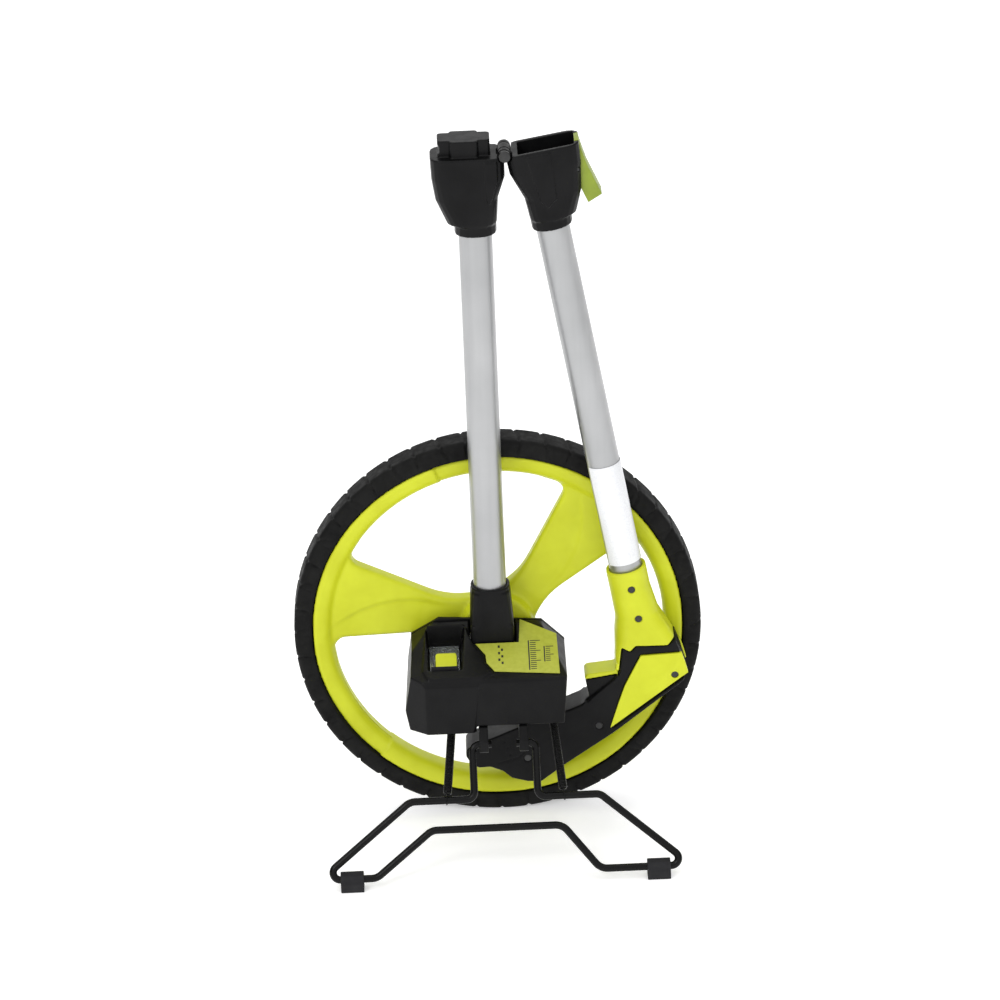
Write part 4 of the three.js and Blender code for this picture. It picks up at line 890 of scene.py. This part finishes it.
def tube(name, top, bottom, matrix, body, node):
    """A drawn tube with deburred ends, modelled along Z in the matrix's frame."""
    edge = 0.25 * MM
    inner = TUBE_RADIUS - TUBE_WALL
    profile = [
        (inner, bottom + edge), (inner + edge, bottom), (TUBE_RADIUS - edge, bottom),
        (TUBE_RADIUS, bottom + edge), (TUBE_RADIUS, top - edge), (TUBE_RADIUS - edge, top),
        (inner + edge, top), (inner, top - edge),
    ]
    obj = turned(name, profile, 96)
    move(obj, matrix @ Matrix.Rotation(math.pi / 2, 4, "X"))
    smooth(obj, 40)
    return stands_for(obj, body, ALUMINIUM, node, slot="anodised_aluminium")


def connector(node, body, panel):
    """A hinge connector with moulded edges; the panel is a matrix, (x, z) points in mm and a half width."""
    obj = cad_copy(node, node + "_moulding")
    matrix, outline, half = panel
    for side in (-1, 1):
        y = TUBE_Y + side * half
        raised = prism("panel", [mm(*p) for p in outline], y - PANEL_DEPTH, y + PANEL_DEPTH)
        move(raised, matrix)
        carve(obj, raised, operation="UNION")
    moulded(obj, 0.6 * MM, 2)
    return stands_for(obj, body, BLACK, node, slot="black_plastic")


def handle():
    low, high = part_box("lower_tube")
    centre = Matrix.Translation(((low.x + high.x) / 2, TUBE_Y, 0))
    tube("lower_tube_drawn", high.z, low.z, centre, "frame", "lower_tube")
    lower_panel = [(3, -3), (13, -3), (13, -18), (7.5, -36), (5, -36)]
    shift = Matrix.Translation((0, 0, HINGE.z))
    connector("lower_connector", "frame", (shift, lower_panel, 16.8 * MM))
    upper_panel = [(16, -3), (34, -3), (32, -40), (24, -46), (20, -40)]
    connector("upper_connector", "arm", (ARM, upper_panel, 16.6 * MM))
    rounded_copy("latch_lever", "latch", LATCH, 1.0, "lime_plastic")
    rounded_copy("hinge_pin", "frame", DARK_STEEL_AND_WELL_SHADE, 0.5, "steel")
    along_arm = Matrix.Rotation(-math.pi / 2, 4, "Y") @ ARM.inverted()
    coil_spring("latch_spring", along_arm, 0.35 * MM, 5)
    upper_tube()
    grip()


def upper_tube():
    obj = cad_copy("upper_tube", "upper_tube_drawn")
    inverse = ARM.inverted()
    ends = [(inverse @ vertex.co).z for vertex in obj.data.vertices]
    centre = ARM @ Matrix.Translation((ARM_X, TUBE_Y, 0))
    bpy.data.objects.remove(obj)
    tube("upper_tube_drawn", max(ends), min(ends), centre, "arm", "upper_tube")
    rounded_copy("reflector_band", "arm", REFLECTIVE, 0.1, "reflective_film", 2)


def on_grip(down, across):
    """A grip point (mm down the arm from the grip's start, mm across from the tube) in the arm's frame."""
    return ARM_X + across * MM, -GRIP_START - down * MM


def neck_envelope():
    """The round-cornered body that the neck is moulded within, above its guard."""
    levels = (
        (-1, -15.6, 15.6, 14.5), (18, -15.6, 15.6, 14), (39, -15.8, 18, 12.5), (52, -19, 22.6, 11),
        (63, -21.4, 26.4, 10), (78, -25.2, 30, 9),
    )
    rings = []
    for down, left, right, radius in levels:
        x0, z = on_grip(down, left)
        x1, _ = on_grip(down, right)
        ring = rounded_rectangle(x0, x1, TUBE_Y - GRIP_HALF, TUBE_Y + GRIP_HALF, radius * MM, 10)
        rings.append([(x, y, z) for x, y in ring])
    return loft("neck_envelope", rings)


def both_halves(first, second, name):
    """The two half shells of a moulding as one body."""
    obj = cad_copy(first, name)
    other = cad_copy(second, name + "_back")
    return merge(name, obj, other)


def groove(points, width, depth_from, depth_to):
    """A thin cutter along grip points, between two depths."""
    outline = []
    for side in (1, -1):
        row = []
        for i, (down, across) in enumerate(points):
            a, b = points[max(0, i - 1)], points[min(len(points) - 1, i + 1)]
            length = math.hypot(b[0] - a[0], b[1] - a[1])
            off = side * width / 2
            row.append((down - off * (b[1] - a[1]) / length, across + off * (b[0] - a[0]) / length))
        outline += row if side > 0 else row[::-1]
    return prism("groove", [on_grip(*point) for point in outline], depth_from, depth_to)


def heel_panel(side):
    """A heel panel, its long edge held back so that the black handle borders it."""
    node = "heel_panel_" + side
    obj = cad_copy(node, node + "_trimmed")
    move(obj, ARM.inverted())
    corners = {(round(v.co.x, 5), round(v.co.z, 5)) for v in obj.data.vertices}
    edges = [
        tuple(Vector((obj.data.vertices[i].co.x, obj.data.vertices[i].co.z)) for i in edge.vertices)
        for edge in obj.data.edges
    ]
    centre = sum((Vector(corner) for corner in corners), Vector((0, 0))) / len(corners)

    def on_outline(a, b):
        normal = Vector((b.y - a.y, a.x - b.x))
        sides = [normal.dot(Vector(corner) - a) for corner in corners]
        return max(sides) < 1e-6 or min(sides) > -1e-6

    outer = [edge for edge in edges if on_outline(*edge)]
    a, b = max(outer, key=lambda edge: (edge[1] - edge[0]).length)
    inward = Vector((b.y - a.y, a.x - b.x)).normalized()
    inward *= math.copysign(HEEL_BORDER, inward.dot(centre - a))
    for vertex in obj.data.vertices:
        point = Vector((vertex.co.x, vertex.co.z))
        if min((point - a).length, (point - b).length) < 0.5 * MM:
            vertex.co.x += inward.x
            vertex.co.z += inward.y
    bevel(obj, 0.8 * MM, 3, 20)
    smooth(obj, 35)
    move(obj, ARM)
    return stands_for(obj, "arm", LIME, node, slot="lime_plastic")


def grip():
    """Lime neck and heel panels on a black handle."""
    neck = both_halves("neck_shell_front", "neck_shell_back", "neck_moulding")
    moulded(neck, 0.6 * MM, 1)
    inverse = ARM.inverted()
    move(neck, inverse)
    # Below the guard's start the CAD's own outline stays as it is.
    left, right = ARM_X - 60 * MM, ARM_X + 40 * MM
    top, bottom = -GRIP_START - GUARD_START, -GRIP_START - GUARD_START - 30 * MM
    outline = [(left, top), (right, top), (right, bottom), (left, bottom)]
    guard = prism("guard", outline, TUBE_Y - 30 * MM, TUBE_Y + 30 * MM)
    envelope = carve(neck_envelope(), guard, operation="UNION")
    carve(neck, envelope, operation="INTERSECT")
    moulded(neck, 0.6 * MM, 5)
    move(neck, ARM)
    stands_for(neck, "arm", LIME, "neck_shell_front", "neck_shell_back", slot="lime_plastic")

    handle_body = both_halves("handle_shell_front", "handle_shell_back", "handle_moulding")
    moulded(handle_body, 0.75 * MM, 4)
    move(handle_body, inverse)
    # Each groove: points as on_grip takes them, and a width.
    lines = (
        ([(117, -43), (136, -86.6), (148, -112)], 1.1),
        ([(126, -98), (138, -112), (140, -130)], 1.6),
        ([(120, -122), (131, -118), (146, -121)], 1.3),
    )
    for points, width in lines:
        for face in (TUBE_Y - HANDLE_HALF, TUBE_Y + HANDLE_HALF):
            carve(handle_body, groove(points, width, face - GROOVE_DEPTH, face + GROOVE_DEPTH))
    move(handle_body, ARM)
    moulded(handle_body, 0.7 * MM, 3)
    shells = ("handle_shell_front", "handle_shell_back")
    stands_for(handle_body, "arm", BLACK, *shells, slot="black_plastic")
    for side in ("front", "back"):
        heel_panel(side)


# --------------------------------------------------------------------------------------------------
# Stand
# --------------------------------------------------------------------------------------------------

def on_stand(x, down):
    """A point of the stand's leaning plane, down metres from its pivot."""
    return Vector((
        x, STAND_PIVOT.y - down * math.sin(STAND_LEAN), STAND_PIVOT.z - down * math.cos(STAND_LEAN),
    ))


def stand_wire():
    length = (STAND_PIVOT.z - FOOT_LINE) / math.cos(STAND_LEAN)
    crossbar = length - CROSSBAR_RISE
    corners = (
        (-9, 0, 0), (-24, 0, 5), (-24, REAR_DROP, 6), (-74, REAR_DROP, 12), (-146, length, 5.6),
        (-102, length, 12), (-58, crossbar, 12), (43, crossbar, 12), (71, length, 12),
        (141, length, 5.6), (73, REAR_DROP, 9), (25, REAR_DROP, 6), (25, 0, 5), (10, 0, 0),
    )
    route = [(on_stand(x * MM, down), radius * MM) for x, down, radius in corners]
    obj = sweep("stand_wire", rounded_route(route, 12), WIRE_RADIUS, 24)
    return stands_for(obj, "stand", COAT, "kickstand", slot="black_wire")


def spring(side):
    """A close-wound extension spring from the housing's hook to the stand's rear bar, with a hooked end."""
    sign = -1 if side == "left" else 1
    node = "stand_spring_" + side
    top_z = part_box(node)[1].z - 1 * MM
    bar = on_stand(sign * SPRING_AT_WIRE, REAR_DROP)
    top = Vector((sign * SPRING_AT_HOUSING, SPRING_HOOK_Y, top_z))
    axis = (bar - top).normalized()
    side_way = axis.orthogonal().normalized()
    other = axis.cross(side_way)
    length = (bar - top).length - 5.5 * MM
    steps = 14
    count = int(length / SPRING_PITCH * steps)
    points = [top + axis * -2.5 * MM, top - axis * 1 * MM]
    for i in range(count + 1):
        angle = 2 * math.pi * i / steps
        radius = SPRING_RADIUS * min(1, i / 8 + 0.2, (count - i) / 8 + 0.2)
        along = axis * (SPRING_PITCH * i / steps)
        out = side_way * math.cos(angle) + other * math.sin(angle)
        points.append(top + along + out * radius)
    across = axis.cross(Vector((1, 0, 0))).normalized()
    loop = WIRE_RADIUS + 0.6 * MM
    for i in range(13):
        angle = math.pi * (1.5 * i / 12)
        points.append(bar - axis * loop * math.cos(angle) + across * loop * math.sin(angle))
    obj = sweep("spring_coil_" + side, points, SPRING_WIRE, 8)
    obj.data.materials.append(COAT)
    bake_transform(obj)
    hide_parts(node)
    return obj


def foot(side):
    """A moulded rubber clip: a broad base under a narrower band that snaps round the wire."""
    low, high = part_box("stand_foot_" + side)
    y = (low.y + high.y) / 2
    scale = high.z / (14 * MM)  # the section is drawn 14 mm high
    section = (
        (-6.5, 0), (6.5, 0), (6.5, 7), (5.2, 8.4), (5.2, 12.4), (3.6, 14), (-3.6, 14), (-5.2, 12.4),
        (-5.2, 8.4), (-6.5, 7),
    )
    rings = [[(x, y + u * MM, v * MM * scale) for u, v in section] for x in (low.x, high.x)]
    obj = bevel(loft("foot_clip_" + side, rings), 0.7 * MM, 3, 40)
    smooth(obj, 45)
    return stands_for(obj, "stand", FOOT, "stand_foot_" + side, slot="foot_rubber")


def stand():
    stand_wire()
    for side in ("left", "right"):
        spring(side)
        foot(side)


# --------------------------------------------------------------------------------------------------
# Studio
# --------------------------------------------------------------------------------------------------

def studio():
    scene = bpy.context.scene
    camera_data = bpy.data.cameras.new("camera")
    camera_data.lens = CAMERA_LENS
    camera_data.sensor_width = 36
    camera_data.clip_end = 50
    camera = place(camera_data, "camera")
    camera.location = CAMERA_PLACE
    aim = Vector(CAMERA_TARGET) - Vector(CAMERA_PLACE)
    turn = aim.to_track_quat("-Z", "Y").to_matrix().to_4x4()
    roll = Matrix.Rotation(-math.radians(CAMERA_ROLL), 4, "Z")
    camera.rotation_euler = (turn @ roll).to_euler()
    scene.camera = camera

    world = bpy.data.worlds.new("studio")
    world.use_nodes = True
    scene.world = world
    scene.view_settings.view_transform = "Standard"
    background = world.node_tree.nodes["Background"]
    background.inputs["Strength"].default_value = 1.0
    # A white tent with dark sides, which draw the dark edges of tubes and mouldings.
    nodes, links = world.node_tree.nodes, world.node_tree.links
    direction = nodes.new("ShaderNodeSeparateXYZ")
    links.new(nodes.new("ShaderNodeTexCoord").outputs["Generated"], direction.inputs["Vector"])
    sideways = nodes.new("ShaderNodeMath")
    sideways.operation = "ABSOLUTE"
    links.new(direction.outputs["X"], sideways.inputs[0])
    shade = nodes.new("ShaderNodeValToRGB")
    shade.color_ramp.elements[0].position = 0.62
    shade.color_ramp.elements[0].color = (1, 1, 1, 1)
    shade.color_ramp.elements[1].position = 0.9
    shade.color_ramp.elements[1].color = (0.06, 0.06, 0.06, 1)
    links.new(sideways.outputs["Value"], shade.inputs["Fac"])
    links.new(shade.outputs["Color"], background.inputs["Color"])

    # Name, place, size in metres and power in watts.
    lights = (
        ("key", (-1.4, -2.2, 2.4), 0.8, 20),
        ("fill", (2.2, -1.4, 1.4), 1.4, 3),
        ("top", (0.2, 0.4, 2.6), 1.2, 5),
    )
    for name, at, size, power in lights:
        light = bpy.data.lights.new(name, "AREA")
        light.size = size
        light.energy = power
        lamp = place(light, name)
        lamp.location = at
        towards = Vector((0, 0, 0.25)) - Vector(at)
        lamp.rotation_euler = towards.to_track_quat("-Z", "Y").to_euler()

    bm = bmesh.new()
    bmesh.ops.create_grid(bm, x_segments=2, y_segments=2, size=6)
    floor = from_bmesh(bm, "floor")
    paper = Finish(
        "studio_paper", (0.93, 0.93, 0.93), 0.9, Emission_Strength=0.4, Specular_IOR_Level=0.0,
    )
    paper.shader.inputs["Emission Color"].default_value = (1, 1, 1, 1)
    paper.color(paper.ramp(paper.noise(3, 2), (0.3, (0.92, 0.92, 0.92)), (0.7, (0.94, 0.94, 0.94))))
    floor.data.materials.append(paper.material)


# --------------------------------------------------------------------------------------------------
# Carried-over CAD nodes
# --------------------------------------------------------------------------------------------------

def dress_cad():
    """Materials for the CAD nodes that show as they are. The grip's screws and the latch's pin are dark; on the
    screws the dark steel is painted shade for the wells round them.
    """
    by_slot = {
        "lime_plastic": LIME, "black_plastic": BLACK, "drum_plastic": INK, "white_plastic": WHITE,
        "tyre_rubber": TYRE, "foot_rubber": FOOT, "anodised_aluminium": ALUMINIUM, "steel": STEEL,
        "black_wire": COAT, "brass": BRASS, "clear_lens": LENS, "label_film": LABEL,
        "reflective_film": REFLECTIVE,
    }
    slots = {part["node"]: part["material_slot"] for part in frame["record"]["subparts"]}
    for node, obj in frame["nodes"].items():
        obj.data.materials.clear()
        # The dark screws are painted shade for the wells round them.
        dark = node.startswith(("grip_screw", "latch_pin"))
        obj.data.materials.append(DARK_STEEL_AND_WELL_SHADE if dark else by_slot[slots[node]])


studio()
dress_cad()
tyre()
wheel()
hub_fittings()
housing()
handle()
stand()
